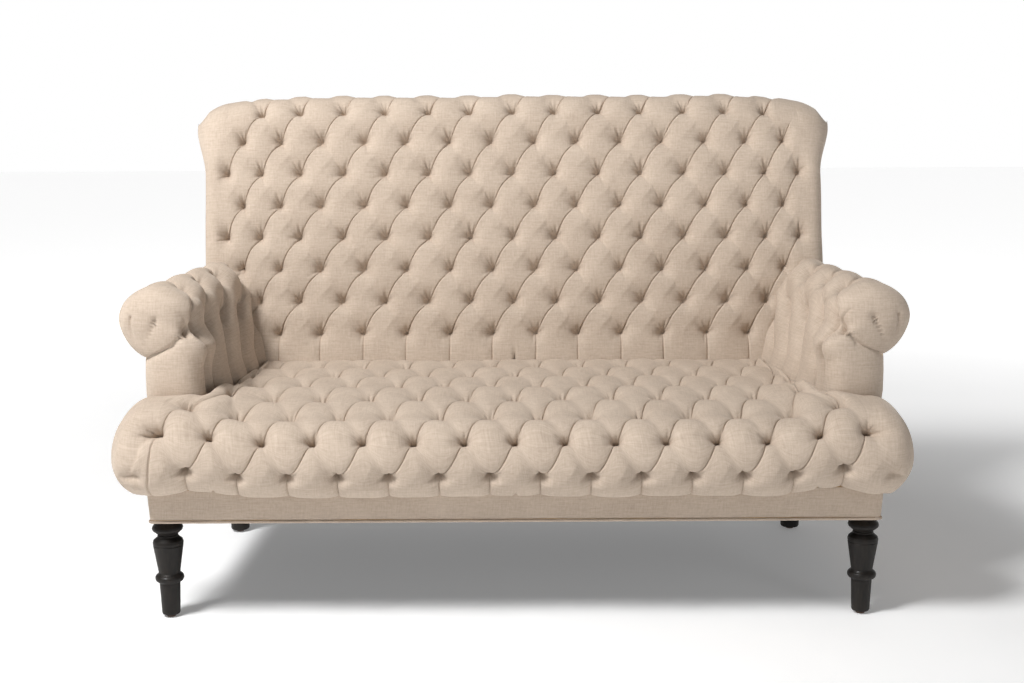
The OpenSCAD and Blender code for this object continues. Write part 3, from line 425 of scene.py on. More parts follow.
# Creases on the front of the arm, from one point [u, z] to another, with their depth and bend
CREASES = [(-87, 621, -135, 572, -3, 6), (42, 648, 35, 597, 5.5, 4), (-16, 644, 13, 589, 6, 0),
           (-87, 621, -62, 660, 4, 4), (-87, 621, -44, 636, 2, 2), (-87, 621, -104, 664, 4, -4),
           (-87, 621, -118, 632, 3, 2), (-87, 621, -74, 648, 2.5, 1)]
# Height of the seam below the roll, and how far the roll hangs down to it
SEAM_Z, ROLL_SAG = 556, 20
# Place and depth of the fold behind the arm's front
BEHIND_FRONT, BEHIND_DEPTH = 52, 22
# How much fuller the inner side of the arm is at its front, by height
BOOT_Z = [475, 496, 537, 565, 582, 602, 620, 640, 665, 692, 712, 724]
BOOT = [-8, -6, 4, 22, 27, 14, 8, 14, 17, 13, 5, 0]


def boot(v, z):
    return np.interp(z, BOOT_Z, BOOT) * (1 - smooth(v, 30, 230))


def crease_depth(u, z):
    # The long crease from the corner tuft down to the outer side, over the seam below the roll
    off = 0.8 * (z - np.interp(u, [-87, -69, -53, -34, -10, 16], [624, 607, 592, 579, 566, 556]))
    deep = np.interp(u, [-96, -84, -50, 0, 22], [0, 7, 5.5, 3.5, 2])
    out = deep * (np.exp(-(off / 2.6) ** 2) + 0.8 * np.exp(-(off / 11) ** 2))
    for u0, z0, u1, z1, deep, bend in CREASES:
        du, dz = u1 - u0, z1 - z0
        length = math.hypot(du, dz)
        f = ((u - u0) * du + (z - z0) * dz) / length ** 2
        off = ((u - u0) * -dz + (z - z0) * du) / length - bend * np.sin(np.pi * np.clip(f, 0, 1))
        past = np.maximum(0, np.maximum(-f, f - 1)) * length
        near = np.hypot(off, past)
        fade = 1 - 0.75 * np.clip(f, 0, 1)
        out = out + deep * fade * (np.exp(-(near / 2.6) ** 2) + 0.6 * np.exp(-(near / 10) ** 2))
    return out


def lift(u, z):
    """Raises the seam below the roll to the corner tuft, over the inner half of the front."""
    by_u = np.interp(u, [-112, -85, -58, -34, -10, 16], [0, 18, 40, 23, 10, 0])
    return by_u * np.exp(-((z - SEAM_Z) / 44) ** 2)


def face_mesh(rim_u, rim_z, on):
    """Rows of points from an outline of the arm's front in to its middle line, over a full round face."""
    g = np.linspace(0, 1, 41)[1:]
    f = g ** 1.7
    swell = 1 - np.sqrt(1 - (1 - f) ** 2.6)
    mid_z = np.minimum(rim_z, ARM_Z) * (1 - on) + ARM_Z * on
    mid_u = -58.0 * (1 - np.clip((mid_z - 585) / (ARM_Z - 585), 0, 1))
    u = rim_u[:, None] * (1 - f) + mid_u[:, None] * f
    z = rim_z[:, None] * (1 - f) + mid_z[:, None] * f
    z = z + lift(u, z) * smooth(f, 0, 0.2)
    v = -FACE_PROUD + (FACE_START + FACE_PROUD) * swell
    return u, v + 0 * u, z, f


def place_back(points):
    """Distances from the middle of the arm's roll, out and along it, of points of the right arm."""
    x, y = points[..., 0] - ARM_X, points[..., 1] - ARM_FOOT_Y
    return x * math.cos(SPLAY) + y * math.sin(SPLAY), y * math.cos(SPLAY) - x * math.sin(SPLAY)


def front_relief(points):
    """Creases and the corner tuft of the arm's front, as a height."""
    u, v = place_back(points)
    z = points[..., 2]
    near = np.sqrt((u - CORNER_TUFT[0]) ** 2 + (v - CORNER_TUFT[1]) ** 2 + (z - CORNER_TUFT[2]) ** 2)
    h = -crease_depth(u, z) * (1 - smooth(v, 2, 26))
    return h - 12 * np.exp(-(near / 19) ** 1.5) - 15 * np.exp(-(near / 8) ** 1.6)


def front_below_roll(side):
    """The outer part of the arm's front below the roll, as an extra grid for mesh_piece."""
    rows = np.linspace(SEAM_Z + 9, RAIL_TOP - 30, 44)
    rim = np.interp(rows, [RAIL_TOP, SEAT_H, 520, 560], [6, SIDE_U + 2, SIDE_U + 2, SIDE_U])
    fu, fv, fz, _ = face_mesh(rim, rows, np.zeros(len(rows)))
    back_v = np.linspace(FACE_START + 16, FACE_START, 6)
    u = np.concatenate([rim[:, None] + 0 * back_v, fu], 1)
    v = np.concatenate([back_v + 0 * rows[:, None], fv], 1)
    z = np.concatenate([rows[:, None] + 0 * back_v, fz], 1)
    base = arm_place(1, u, v, z)
    under = np.exp(-((z - lift(u, z) - rows[0]) / 8) ** 2)
    height = front_relief(base) - 5 * under
    points = raised(base, height)
    points[:, -1] = base[:, -1] + height[:, -1:] * FACE_OUT
    points[..., 0] *= side
    return points, np.stack([u, z], -1), None


def make_arm(side):
    name = "left" if side < 0 else "right"
    s_low = np.linspace(0, ARM_LOW, 42)[:-1]
    s_mid = ARM_LOW + ARM_ROW * np.linspace(0, 2, 2 * ARM_CELLS + 1)
    s_top = np.linspace(s_mid[-1], ARM_LEN + ARM_ARC, 44)[1:]
    s = np.concatenate([s_low, s_mid, s_top])
    v = np.arange(FACE_START, ARM_L + 4, ARM_PITCH / 2 / ARM_CELLS)[::-1]
    V, S = np.meshgrid(v, s)
    grid, lean, fall = arm_pattern(V, S)
    blend = smooth(V, FACE_START, FACE_START + 30) * (1 - 0.35 * smooth(V, 240, 430))
    v_at = V + (grid[2] * ARM_PITCH - V - lean) * blend * (1 - smooth(V, ARM_L - 160, ARM_L - 5))
    s_at = S + (ARM_LOW + (3 - grid[3]) * ARM_ROW - S - fall) * blend
    u, z = roll_section((0, ARM_Z), ARM_R, ARM_LEAN, ARM_LEN, s_at, 0)
    u = u - boot(v_at, z) * (u < 0) * np.clip(-u / 30, 0, 1)
    # The roll hangs to its outer side, more so at the front
    front = 1 - smooth(v_at, FACE_START, FACE_START + 150)
    sag = 0.15 * np.maximum(0, u + 20) * smooth(z, 600, 690) + 4 * front * smooth(z, 680, 720)
    z = z - sag
    u = u + (3 + 5 * front) * smooth(u, 0, ARM_R)
    turn = ARM_LEAN + np.maximum(0, s_at - ARM_LEN) / ARM_R
    z = z - ROLL_SAG * smooth(turn, math.pi, ARM_END) * (0.4 + 0.6 * front)
    # The rear end stands square to the back
    v_at = v_at + (ARM_R - u) * math.tan(SPLAY) * smooth(V, ARM_L - 90, ARM_L)
    # The front: the outline closes onto a middle line
    on = smooth(s, ARM_LEN - 70, ARM_LEN + 30) * (1 - smooth(s, ARM_LEN + ARM_ARC - 90, ARM_LEN + ARM_ARC))
    fu, fv, fz, f = face_mesh(u[:, -1], z[:, -1], on)
    u, v_at, z = (np.concatenate(pair, 1) for pair in ((u, fu), (v_at, fv), (z, fz)))
    base = arm_place(1, u, v_at, z)
    step = np.linalg.norm(np.diff(base[:, len(v) - 1:], axis=1), axis=-1)
    q = np.concatenate([V, FACE_START - np.cumsum(step, axis=1)], 1)
    S_all = np.repeat(s[:, None], q.shape[1], 1)
    on_face = np.concatenate([np.zeros(len(v)), f]) + 0 * q
    height = tuft_height(arm_pattern(q, S_all)[0], ARM_PITCH, ARM_ROW, ARM_TUFT, ARM_VALLEY, 21)
    over = smooth(S_all, ARM_LOW + 2.1 * ARM_ROW, ARM_LOW + 3.4 * ARM_ROW)
    on_roll = smooth(S_all, ARM_LEN - 20, ARM_LEN + 40)
    height = height * smooth(q, 12 + 30 * on_roll, 50 + 36 * on_roll) * (1 - 0.6 * over)
    height = height + wander(q, S_all, 5, 260, 0.9) * (1 - on_face)
    height = height + front_relief(base)
    # The deep fold behind the front, from the seat up
    fold = np.exp(-((q - BEHIND_FRONT) / 10) ** 2) * (S_all < ARM_LEN) * (1 - smooth(base[..., 2], 560, 600))
    height = height - BEHIND_DEPTH * fold
    # Where the roll hangs lower, there is less padding over its core
    room = ARM_TUFT - sag
    room = np.concatenate([room, np.repeat(room[:, -1:], fz.shape[1], 1)], 1)
    height = np.maximum(limited(height), -room)
    points = raised(base, height)
    points[:, -1] = base[:, -1] + height[:, -1:] * FACE_OUT
    points[..., 0] *= side
    # The weave runs straight over the face, and along the arm elsewhere
    face_uv = np.stack([place_back(base)[0], base[..., 2]], -1)
    side_uv = np.stack([q, S_all], -1)
    uv = np.where((q < FACE_START)[..., None], face_uv, side_uv)
    piece = mesh_piece(name + "_arm_cushion", points, uv, flip=side < 0, extra=[front_below_roll(side)])
    weld(piece, 0.05)
    finish_pad(piece, name + "_arm_tufted_pad", name + "_arm_front_pad")


def make_arm_outside(side):
    """The cloth of the arm's outer side, from under the roll down over the rail, and of its rear end."""
    name = "left" if side < 0 else "right"
    roll_low = ARM_Z - ARM_R
    rows = np.linspace(roll_low + 10, LEG_H, 60)
    start = np.interp(rows, [LEG_H, 300, 420, 580], [-15.5, -15.5, 18, 30])
    end = ARM_L + 13
    k = np.linspace(1, 0, 70)
    v = start[:, None] + (end - start[:, None]) * k
    z = rows[:, None] + 0 * v
    y = ARM_FOOT_Y + v * math.cos(SPLAY)
    low = (side_x(y) + PANEL_T + 0.5 - ARM_X + v * math.sin(SPLAY)) / math.cos(SPLAY)
    f = np.clip((z - RAIL_TOP) / (roll_low - RAIL_TOP), 0, 1)
    u = low + (SIDE_U - low) * f
    edge = dome((v - start[:, None]) / -10 + 1, 3) + dome((LEG_H + 6 - z) / 6, 2)
    edge = edge + dome((v - end + 10) / 10, 3)
    tuck = 14 * smooth(z, roll_low - 3, roll_low + 10)
    u = u - edge - tuck + wander(v, z, 51, 400, 0.8)
    side_grid = arm_place(side, u, v, z)
    # The rear end closes the roll and the side in to a middle line
    turn = np.radians(np.linspace(40, 264, 36))
    rim_u = np.concatenate([-ARM_R * np.cos(turn), u[:, 0]])
    rim_z = np.concatenate([ARM_Z + ARM_R * np.sin(turn), rows])
    g = np.linspace(0, 1, 9)
    on = np.concatenate([np.ones(len(turn)), np.zeros(len(rows))])
    mid_u = np.where(on > 0, 0, -40)
    mid_z = np.minimum(rim_z, ARM_Z) * (1 - on) + ARM_Z * on
    U = rim_u[:, None] * (1 - g) + mid_u[:, None] * g
    Z = rim_z[:, None] * (1 - g) + mid_z[:, None] * g
    W = ARM_L + 4 * np.sqrt(1 - (1 - g) ** 3) + (ARM_R - U) * math.tan(SPLAY)
    rear = arm_place(side, U[:, ::-1], W[:, ::-1], Z[:, ::-1])
    piece = mesh_piece(name + "_arm_outside_cloth", side_grid, np.stack([v, z], -1), flip=side > 0,
                       extra=[(rear, np.stack([U, Z], -1)[:, ::-1], None)])
    finish_pad(piece, name + "_arm_outside_panel", fill=1.0)


# Seat

SEAT_HALF = FRAME_W / 2 - (NOSE_R - (FRONT_Y - SEAT_FRONT))
# The last column of tufts, how far it lies inside the flat part's end, and the grid's cells in half a tuft
SEAT_LAST, END_MARGIN, SEAT_CELLS = 7, 30, 16
SEAT_PITCH = (SEAT_HALF - END_MARGIN) / SEAT_LAST
SEAT_ROW, SEAT_TUFT, SEAT_VALLEY = 114, 40, 9.5
END_TURN = math.pi - math.asin((NOSE_R + SEAT_FRONT - FRONT_Y) / NOSE_R)
NOSE_DOWN, UNDER_RISE = 82, 14
# The row that the lower front edge counts as, how far rows 8 and 7 lie round the edge, and how far row 6
# lies behind it
LOW_ROW, ROW_8, ROW_7, ROW_6 = 9.4, math.radians(109), math.radians(51), 88
# How far the crown falls to the front edge and over which depth, and how far the right end is drawn in
FRONT_DROP, DROP_DEPTH, SEAT_SKEW = 26, 210, 11
# How much higher the cloth stands beside the arms' fronts, and in front of the left and of the right arm
BESIDE_ARM, BEFORE_LEFT, BEFORE_RIGHT = 22, 12, 4
# Width of one column beyond the last tufts, and the depth of the long pleat in it
END_COLUMN, END_PLEAT = 187, 4.5
NOSE_UP = SEAT_H - FRONT_DROP - NOSE_Z


def seat_profile():
    """The seat's middle section from the lower front edge to the back: row, turn round that edge, and y."""
    front, rear = SEAT_FRONT + NOSE_R, SEAT_REAR + 14
    fine = np.linspace(0, 1, 201)
    turn = np.concatenate([ROW_7 * (1 - fine), 0 * fine])
    y = np.concatenate([front + 0 * fine, front + (ROW_6 - NOSE_R) * fine])
    step = np.hypot(np.diff(y - NOSE_R * np.sin(turn)), np.diff(NOSE_UP * np.cos(turn)))
    run = np.concatenate([[0], np.cumsum(step)])
    row = 7 - run / run[-1]
    last_row = 6 - (rear - SEAT_FRONT - ROW_6) / SEAT_ROW
    rows = np.concatenate([[LOW_ROW, 8, 7], row[1:], [last_row]])
    turns = np.concatenate([[END_TURN, ROW_8, ROW_7], turn[1:], [0]])
    return rows, turns, np.concatenate([[front] * 3, y[1:], [rear]])


def seat_caps(rim_row, n_end):
    """The rear ends of the seat's front corners, as extra grids for mesh_piece."""
    caps = []
    for rim in (rim_row[:n_end + 1], rim_row[len(rim_row) - n_end - 1:]):
        f = np.linspace(0, 1, 14)[:, None, None]
        x = np.sign(rim[:, 0]) * np.minimum(np.abs(rim[:, 0]), SEAT_HALF + 14)
        axis = np.stack([x, rim[:, 1], np.full(len(rim), NOSE_Z)], -1)
        cap = rim * (1 - f) + axis * f
        cap[..., 1] += 6 * np.sin(np.pi / 2 * f[..., 0])
        caps.append((cap, cap[..., [0, 2]], None))
    return caps


def make_seat():
    rows, turns, ys = seat_profile()
    end = np.concatenate([np.linspace(0, 0.25, 26)[1:], np.linspace(0.25, 1, 24)[1:]])
    t = np.linspace(-SEAT_LAST, SEAT_LAST, 4 * SEAT_LAST * SEAT_CELLS + 1)
    t = np.concatenate([-SEAT_LAST - end[::-1], t, SEAT_LAST + end])
    r = np.concatenate([np.linspace(LOW_ROW, 8, 22)[:-1], np.linspace(8, 1, 7 * SEAT_CELLS + 1)])
    r = np.append(r[r > rows[-1]], rows[-1])
    T, R = np.meshgrid(t, r)
    t_end = SEAT_LAST + 0.5 * np.clip(R - 7, 0, 1)
    grid = tuft_grid(T, R, t_end, 1, 8, 0.10 - 0.15 * smooth(R, 6.85, 7.15))
    t_at, r_at = grid[2], grid[3]
    TY = np.interp(-r_at, -rows, turns)
    Y = np.interp(-r_at, -rows, ys)
    # Beyond the last column the cloth stays flat for a while, and then turns down round the end
    out = np.abs(T) - SEAT_LAST
    flat = 0.16
    TX = np.clip((out - flat) / (1 - flat), 0, 1) * END_TURN
    x_flat = np.clip(t_at, -SEAT_LAST, SEAT_LAST) * SEAT_PITCH
    x_flat = x_flat + np.sign(T) * END_MARGIN * np.clip(out / flat, 0, 1)
    # Behind the front edge the columns draw together between the arms
    limit = inner_x(Y, SEAT_H) + 6
    keep, free = 600, SEAT_LAST * SEAT_PITCH
    squeeze = smooth(Y, ARM_Y - 60, ARM_Y + 20)
    drawn = keep + (np.abs(x_flat) - keep) * (limit - keep) / (free - keep)
    inside = (np.abs(x_flat) > keep) & (out <= 0)
    x_flat = np.where(inside, np.sign(T) * (np.abs(x_flat) * (1 - squeeze) + drawn * squeeze), x_flat)
    turn = np.maximum(TX, TY)
    size = np.maximum(np.hypot(TX, TY), 1e-6)
    dir_x, dir_y = np.sign(T) * TX / size, -TY / size
    from_middle = np.abs(x_flat)
    drop = FRONT_DROP * np.clip(1 - (Y - SEAT_FRONT - NOSE_R) / DROP_DEPTH, 0, 1) ** 2
    drop = drop * (1 - 0.8 * smooth(from_middle, 620, 760))
    up = np.where(turn <= math.pi / 2, SEAT_H - drop - NOSE_Z, NOSE_DOWN)
    x = x_flat + dir_x * NOSE_R * np.sin(turn)
    y = Y + dir_y * NOSE_R * np.sin(turn)
    z = NOSE_Z + up * np.cos(turn) + UNDER_RISE * smooth(turn, math.radians(145), END_TURN)
    # The cloth stands higher where it meets the front of the arms
    before = smooth(from_middle, 680, 760)
    beside = smooth(from_middle, 560, 650) * (1 - before)
    rise = BESIDE_ARM * beside + np.where(x_flat < 0, BEFORE_LEFT, BEFORE_RIGHT) * before
    z = z + rise * smooth(Y, -410, -320) * (1 - smooth(Y, -240, -110))
    height = tuft_height(grid, SEAT_PITCH, SEAT_ROW, SEAT_TUFT, SEAT_VALLEY, 31)
    under = smooth(turn, math.radians(125), math.radians(170))
    ends = smooth(TX, 0.1, 1.2)
    height = height * (1 - 0.75 * under) * (1 - 0.75 * ends)
    height = height + wander(T * SEAT_PITCH, Y - 60 * TY, 6, 330, 1.3)
    # The long pleat that runs down from the outermost tuft of the left end
    off = END_COLUMN * (-T - SEAT_LAST - 0.13 * np.sin(np.pi * np.clip((R - 7) / 2.9, 0, 1)))
    height = height - END_PLEAT * np.exp(-(off / 2.2) ** 2) * smooth(R, 7.02, 7.25)
    height = height * (turn < END_TURN - 0.03)
    x = x - SEAT_SKEW * smooth(x, 600, 850)
    # The rear of each front corner, and the crease along the back
    corner = smooth(out, -0.3, 0.0)
    height = height - corner * dome((Y - ARM_Y + 20) / 20, 12) - dome((Y - SEAT_REAR + 16) / 30, 22)
    points = raised(np.stack([x, y, z], -1), height)
    # What lies behind the front of the arms and outside them isn't there
    j = int(np.argmax(Y[:, -1] > ARM_Y + 1))
    column = np.abs(T[:-1, :-1] + T[1:, 1:]) / 2
    keep_face = ~((np.arange(len(r) - 1)[:, None] >= j) & (column > SEAT_LAST))
    middle = points[:, len(t) // 2]
    run = np.concatenate([[0], np.cumsum(np.linalg.norm(np.diff(middle, axis=0), axis=-1))])
    uv = np.stack([T * SEAT_PITCH, run[:, None] + 0 * T], -1)
    piece = mesh_piece("seat_cushion", points, uv, keep_face, extra=seat_caps(points[j], len(end)))
    weld(piece, 0.02)
    finish_pad(piece, "seat_tufted_pad")


# Border, welt and dust cover


def rail_path(offset, y_end, count):
    """Points round the front of the seat frame, from its right side at y_end to its left side."""
    turn = np.radians(np.linspace(0, 90, 13))
    r = CORNER_R
    half = np.concatenate([[[side_x(y_end) + offset, y_end]], np.stack(
        [FRAME_W / 2 - r + (r + offset) * np.cos(turn), FRONT_Y + r - (r + offset) * np.sin(turn)], -1)])
    line = np.concatenate([half, half[::-1] * [-1, 1]])
    run = np.concatenate([[0], np.cumsum(np.linalg.norm(np.diff(line, axis=0), axis=1))])
    at = np.union1d(np.linspace(0, run[-1], count), run)
    return np.stack([np.interp(at, run, line[:, k]) for k in (0, 1)], -1), at


def make_border():
    z = np.linspace(LEG_H, NOSE_LOW + 8, 18)
    shape = 0.6 + 3.2 * smooth(z, LEG_H - 10, NOSE_LOW) - dome((LEG_H + 4 - z) / 4, 1.6)
    lines, runs = zip(*[rail_path(offset, ARM_Y + 8, 300) for offset in shape])
    run = np.stack(runs)
    level = z[:, None] + 0 * run
    points = np.concatenate([np.stack(lines), level[..., None]], -1)
    points[..., 1] -= 0.5 * (1 + wander(run, z[:, None], 61, 240, 0.5))
    piece = mesh_piece("front_border_cloth", points, np.stack([run, level], -1), flip=True)
    finish_pad(piece, "front_border", fill=1.0)


def make_welt():
    line, run = rail_path(1.0, POST_REAR - WELT_R, 420)
    along = np.gradient(line, axis=0)
    along = along / np.linalg.norm(along, axis=1, keepdims=True)
    turn = np.linspace(0, 2 * math.pi, 13)
    r = WELT_R * (1 + 0.04 * np.sin(run / 5.5))[:, None]
    side = r * np.cos(turn)
    points = np.stack([line[:, :1] - along[:, 1:] * side, line[:, 1:] + along[:, :1] * side,
                       LEG_H - WELT_R + r * np.sin(turn)], -1)
    uv = np.stack([run[:, None] + 0 * side, WELT_R * turn + 0 * side], -1)
    piece = mesh_piece("welt", points, uv)
    weld(piece, 0.01)
    finish_pad(piece, "welt_cord", slot="welt", padded=False)


def make_dust_cover():
    margin, level = 6, 221.5
    front, rear = FRONT_Y + margin, POST_REAR - margin
    part, y = np.meshgrid(np.linspace(-1, 1, 121), np.linspace(front, rear, 57))
    x = part * (side_x(y) - margin)
    sag = 2.2 * (1 - part ** 8) * np.sin(np.pi * (y - front) / (rear - front))
    z = level - sag * (1 - 0.3 * np.abs(np.cos(np.pi * part))) + wander(x, y, 71, 300, 0.3)
    points = np.stack([x, y, z], -1)
    # Round holes leave the legs free
    centre = (points[:-1, :-1] + points[1:, 1:]) / 2
    free = np.ones(centre.shape[:2], bool)
    for name in ("left_front_leg", "right_front_leg", "left_rear_leg", "right_rear_leg"):
        low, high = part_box(name)
        leg_x, leg_y = (low[0] + high[0]) / 2 / MM, (low[1] + high[1]) / 2 / MM
        leg_r = (high[0] - low[0]) / 2 / MM
        free &= np.hypot(centre[..., 0] - leg_x, centre[..., 1] - leg_y) > leg_r + 8
    piece = mesh_piece("dust_cloth", points, np.stack([x, y], -1), free, flip=True)
    finish_pad(piece, "dust_cover", slot="dust_cloth", padded=False)


# Materials


def new_material(name):
    mat = bpy.data.materials.new(name)
    mat.use_nodes = True
    tree = mat.node_tree
    shader = tree.nodes["Principled BSDF"]
    return mat, tree, shader


def add(tree, kind, **values):
    node = tree.nodes.new(kind)
    for key, value in values.items():
        setattr(node, key, value)
    return node


def mapped_noise(tree, source, scale, detail=3.0, rough=0.6):
    mapping = add(tree, "ShaderNodeMapping")
    mapping.inputs["Scale"].default_value = scale
    tree.links.new(source, mapping.inputs["Vector"])
    noise = add(tree, "ShaderNodeTexNoise")
    noise.inputs["Scale"].default_value = 1.0
    noise.inputs["Detail"].default_value = detail
    noise.inputs["Roughness"].default_value = rough
    tree.links.new(mapping.outputs["Vector"], noise.inputs["Vector"])
    return noise.outputs["Fac"]


def math_node(tree, operation, a, b):
    node = add(tree, "ShaderNodeMath", operation=operation)
    for socket, value in zip(node.inputs, (a, b)):
        if isinstance(value, (int, float)):
            socket.default_value = value
        else:
            tree.links.new(value, socket)
    return node.outputs[0]


def ramp(tree, source, stops):
    node = add(tree, "ShaderNodeValToRGB")
    while len(node.color_ramp.elements) < len(stops):
        node.color_ramp.elements.new(0.5)
    for element, (pos, colour) in zip(node.color_ramp.elements, stops):
        element.position = pos
        element.color = (*colour, 1)
    tree.links.new(source, node.inputs["Fac"])
    return node.outputs["Color"]


def cloth(name, dark, light, thread=0.0016, bump=0.35, use_uv=True, sheen=0.25):
    """Woven cloth: threads in both directions, thick and thin places in them, and a slow change of shade."""
    mat, tree, shader = new_material(name)
    coords = add(tree, "ShaderNodeTexCoord")
    source = coords.outputs["UV" if use_uv else "Object"]
    # Noise that is fine across and long along stands for the threads
    warp = mapped_noise(tree, source, (620, 26, 26), 2.0)
    weft = mapped_noise(tree, source, (24, 560, 560 if not use_uv else 24), 2.0)
    slub = mapped_noise(tree, source, (30, 240, 30), 2.0)
    slow = mapped_noise(tree, source, (7, 9, 7), 3.0)
    mottle = mapped_noise(tree, source, (170, 150, 160), 3.0)
    total = math_node(tree, "ADD", warp, weft)
    total = math_node(tree, "ADD", total, math_node(tree, "MULTIPLY", slub, 0.7))
    total = math_node(tree, "ADD", total, math_node(tree, "MULTIPLY", slow, 0.8))
    total = math_node(tree, "ADD", total, math_node(tree, "MULTIPLY", mottle, 0.9))
    total = math_node(tree, "MULTIPLY", total, 1 / (1 + 1 + 0.7 + 0.8 + 0.9))
    tree.links.new(ramp(tree, total, [(0.36, dark), (0.64, light)]), shader.inputs["Base Color"])
    waves = []
    for direction in ("X", "Y"):
        wave = add(tree, "ShaderNodeTexWave", wave_type="BANDS", bands_direction=direction)
        # At scale 1 this texture repeats every 0.314 m
        wave.inputs["Scale"].default_value = 0.314 / thread
        wave.inputs["Distortion"].default_value = 1.2
        wave.inputs["Detail"].default_value = 1.0
        wave.inputs["Detail Scale"].default_value = 0.4
        tree.links.new(source, wave.inputs["Vector"])
        waves.append(wave.outputs["Fac"])
    height = math_node(tree, "MAXIMUM", *waves)
    height = math_node(tree, "ADD", height, math_node(tree, "MULTIPLY", total, 2.2))
    node = add(tree, "ShaderNodeBump")
    node.inputs["Strength"].default_value = bump
    node.inputs["Distance"].default_value = 0.0006
    tree.links.new(height, node.inputs["Height"])
    tree.links.new(node.outputs["Normal"], shader.inputs["Normal"])
    shader.inputs["Roughness"].default_value = 0.92
    shader.inputs["Specular IOR Level"].default_value = 0.15
    shader.inputs["Sheen Weight"].default_value = sheen
    shader.inputs["Sheen Roughness"].default_value = 0.5
    shader.inputs["Sheen Tint"].default_value = (1.0, 0.92, 0.82, 1)
    return mat


def wood(name, dark, light, scale, rough, coat=0.0, bump=0.15, shine=0.5):
    mat, tree, shader = new_material(name)
    source = add(tree, "ShaderNodeTexCoord").outputs["Object"]
    grain = mapped_noise(tree, source, scale, 6.0, 0.62)
    pores = mapped_noise(tree, source, tuple(4 * v for v in scale), 3.0, 0.5)
    total = math_node(tree, "ADD", grain, math_node(tree, "MULTIPLY", pores, 0.5))
    total = math_node(tree, "MULTIPLY", total, 0.667)
    tree.links.new(ramp(tree, total, [(0.32, dark), (0.68, light)]), shader.inputs["Base Color"])
    gloss = math_node(tree, "ADD", math_node(tree, "MULTIPLY", total, 0.25), rough)
    tree.links.new(gloss, shader.inputs["Roughness"])
    node = add(tree, "ShaderNodeBump")
    node.inputs["Strength"].default_value = bump
    node.inputs["Distance"].default_value = 0.0006
    tree.links.new(total, node.inputs["Height"])
    tree.links.new(node.outputs["Normal"], shader.inputs["Normal"])
    shader.inputs["Specular IOR Level"].default_value = shine
    shader.inputs["Coat Weight"].default_value = coat
    shader.inputs["Coat Roughness"].default_value = 0.18
    return mat


def steel(name):
    mat, tree, shader = new_material(name)
    source = add(tree, "ShaderNodeTexCoord").outputs["Object"]
    marks = mapped_noise(tree, source, (90, 90, 400), 4.0)
    colour = ramp(tree, marks, [(0.3, (0.30, 0.30, 0.31)), (0.7, (0.50, 0.50, 0.51))])
    tree.links.new(colour, shader.inputs["Base Color"])
    gloss = math_node(tree, "ADD", math_node(tree, "MULTIPLY", marks, 0.3), 0.2)
    tree.links.new(gloss, shader.inputs["Roughness"])
    shader.inputs["Metallic"].default_value = 1.0
    return mat


def plastic(name):
    mat, tree, shader = new_material(name)
    source = add(tree, "ShaderNodeTexCoord").outputs["Object"]
    grain = mapped_noise(tree, source, (400, 400, 400), 2.0)
    colour = ramp(tree, grain, [(0.3, (0.075, 0.038, 0.02)), (0.7, (0.13, 0.07, 0.04))])
    tree.links.new(colour, shader.inputs["Base Color"])
    gloss = math_node(tree, "ADD", math_node(tree, "MULTIPLY", grain, 0.2), 0.4)
    tree.links.new(gloss, shader.inputs["Roughness"])
    return mat


LINEN = ((0.385, 0.305, 0.240), (0.577, 0.478, 0.388))
MATERIALS = {
    "linen": cloth("linen", *LINEN),
    "welt": cloth("welt", *LINEN, bump=0.3),
    "dark_wood": wood("dark_wood", (0.005, 0.004, 0.0035), (0.018, 0.014, 0.011), (60, 60, 9), 0.40,
                      coat=0.05, bump=0.08, shine=0.25),
    "raw_wood": wood("raw_wood", (0.42, 0.26, 0.13), (0.66, 0.47, 0.27), (9, 70, 70), 0.55),
    "plywood": wood("plywood", (0.46, 0.30, 0.15), (0.70, 0.52, 0.31), (30, 60, 12), 0.6),
    "foam": cloth("foam", (0.70, 0.58, 0.30), (0.86, 0.77, 0.47), 0.004, 0.5, use_uv=False, sheen=0.0),
    "jute": cloth("jute", (0.20, 0.12, 0.055), (0.42, 0.28, 0.14), 0.003, 0.8, use_uv=False, sheen=0.1),
    "dust_cloth": cloth("dust_cloth", (0.012, 0.012, 0.012), (0.03, 0.03, 0.03), 0.002, 0.4, sheen=0.1),
    "steel": steel("steel"),
    "glide": plastic("glide"),
}

make_seat()
make_back()
make_outside_back()
for arm in (-1, 1):
    make_arm(arm)
    make_arm_outside(arm)
make_border()
make_welt()
make_dust_cover()

# The CAD nodes that show keep their shape and get the same materials
for part in frame["record"]["subparts"]:
    node = frame["nodes"][part["node"]]
    node.data.materials.clear()
    node.data.materials.append(MATERIALS[part["material_slot"]])


# Floor, background, lights and camera


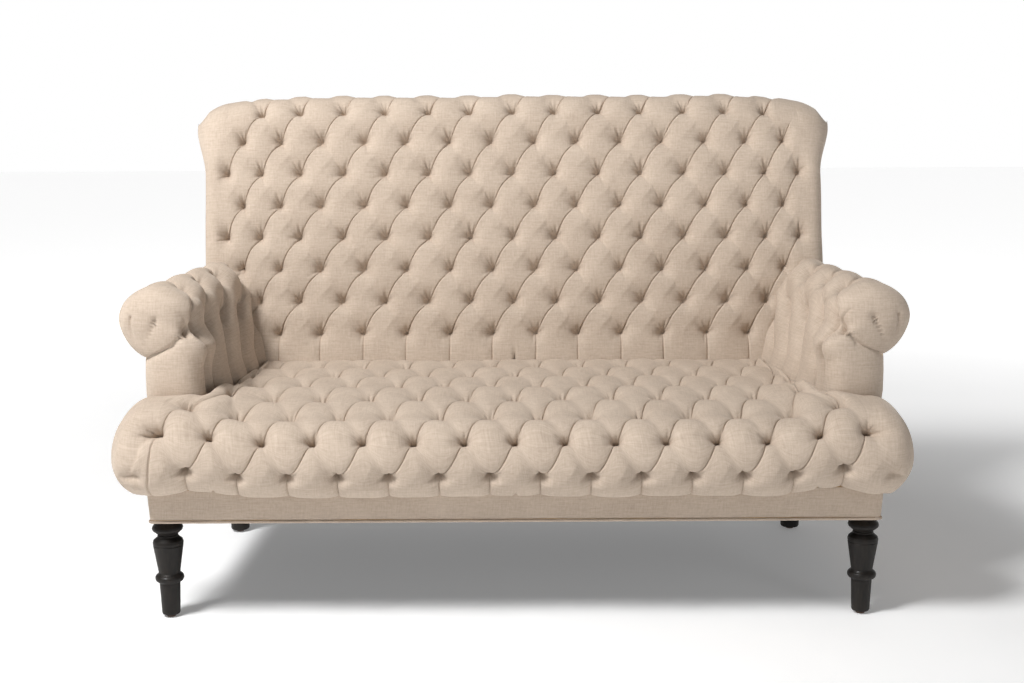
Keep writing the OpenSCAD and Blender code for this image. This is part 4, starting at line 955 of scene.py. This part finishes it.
def make_floor():
    """A pale floor that glows more further away, so that it meets the background without an edge."""
    bpy.ops.mesh.primitive_plane_add(size=40, location=(0, 0, 0))
    floor = bpy.context.object
    floor.name = "floor"
    mat, tree, shader = new_material("floor")
    source = add(tree, "ShaderNodeTexCoord").outputs["Object"]
    pale = mapped_noise(tree, source, (3, 3, 3), 3.0)
    colour = ramp(tree, pale, [(0.3, (0.90, 0.90, 0.90)), (0.7, (0.94, 0.94, 0.94))])
    tree.links.new(colour, shader.inputs["Base Color"])
    shader.inputs["Roughness"].default_value = 0.7
    far = add(tree, "ShaderNodeVectorMath", operation="LENGTH")
    tree.links.new(source, far.inputs[0])
    tenth = math_node(tree, "MULTIPLY", far.outputs["Value"], 0.1)
    glow = ramp(tree, tenth, [(0.12, (0.16, 0.16, 0.16)), (0.4, (0.80, 0.80, 0.80))])
    tree.links.new(glow, shader.inputs["Emission Color"])
    shader.inputs["Emission Strength"].default_value = 1.0
    floor.data.materials.append(mat)


def make_world():
    """White up to a little above the horizon, and dim overhead."""
    world = bpy.data.worlds.new("studio")
    bpy.context.scene.world = world
    world.use_nodes = True
    tree = world.node_tree
    split = add(tree, "ShaderNodeSeparateXYZ")
    tree.links.new(add(tree, "ShaderNodeTexCoord").outputs["Generated"], split.inputs["Vector"])
    rise = math_node(tree, "ADD", math_node(tree, "MULTIPLY", split.outputs["Z"], 0.5), 0.5)
    sky = ramp(tree, rise, [(0.54, (1, 1, 1)), (0.62, (0.13, 0.13, 0.13))])
    tree.links.new(sky, tree.nodes["Background"].inputs["Color"])
    tree.nodes["Background"].inputs["Strength"].default_value = 1.0


def area_light(name, place, target, size, power):
    data = bpy.data.lights.new(name, "AREA")
    data.size = size
    data.energy = power
    lamp = bpy.data.objects.new(name, data)
    bpy.context.scene.collection.objects.link(lamp)
    turn = (Vector(target) - Vector(place)).to_track_quat("-Z", "Y").to_matrix().to_4x4()
    lamp.matrix_world = Matrix.Translation(place) @ turn


def make_camera():
    data = bpy.data.cameras.new("camera")
    data.lens = 50
    data.sensor_width = 36
    camera = bpy.data.objects.new("camera", data)
    bpy.context.scene.collection.objects.link(camera)
    tilt = Matrix.Rotation(math.radians(80.4), 4, "X")
    roll = Matrix.Rotation(math.radians(-0.3), 4, "Z")
    camera.matrix_world = Matrix.Translation((-0.0053, -3.275, 1.10)) @ tilt @ roll
    bpy.context.scene.camera = camera


make_floor()
make_world()
area_light("key", (-2.2, -2.0, 3.8), (0, 0, 0.6), 1.1, 228)
area_light("fill", (2.6, -3.0, 1.6), (0, 0, 0.5), 1.0, 8)
make_camera()
bpy.context.scene.view_settings.view_transform = "Standard"
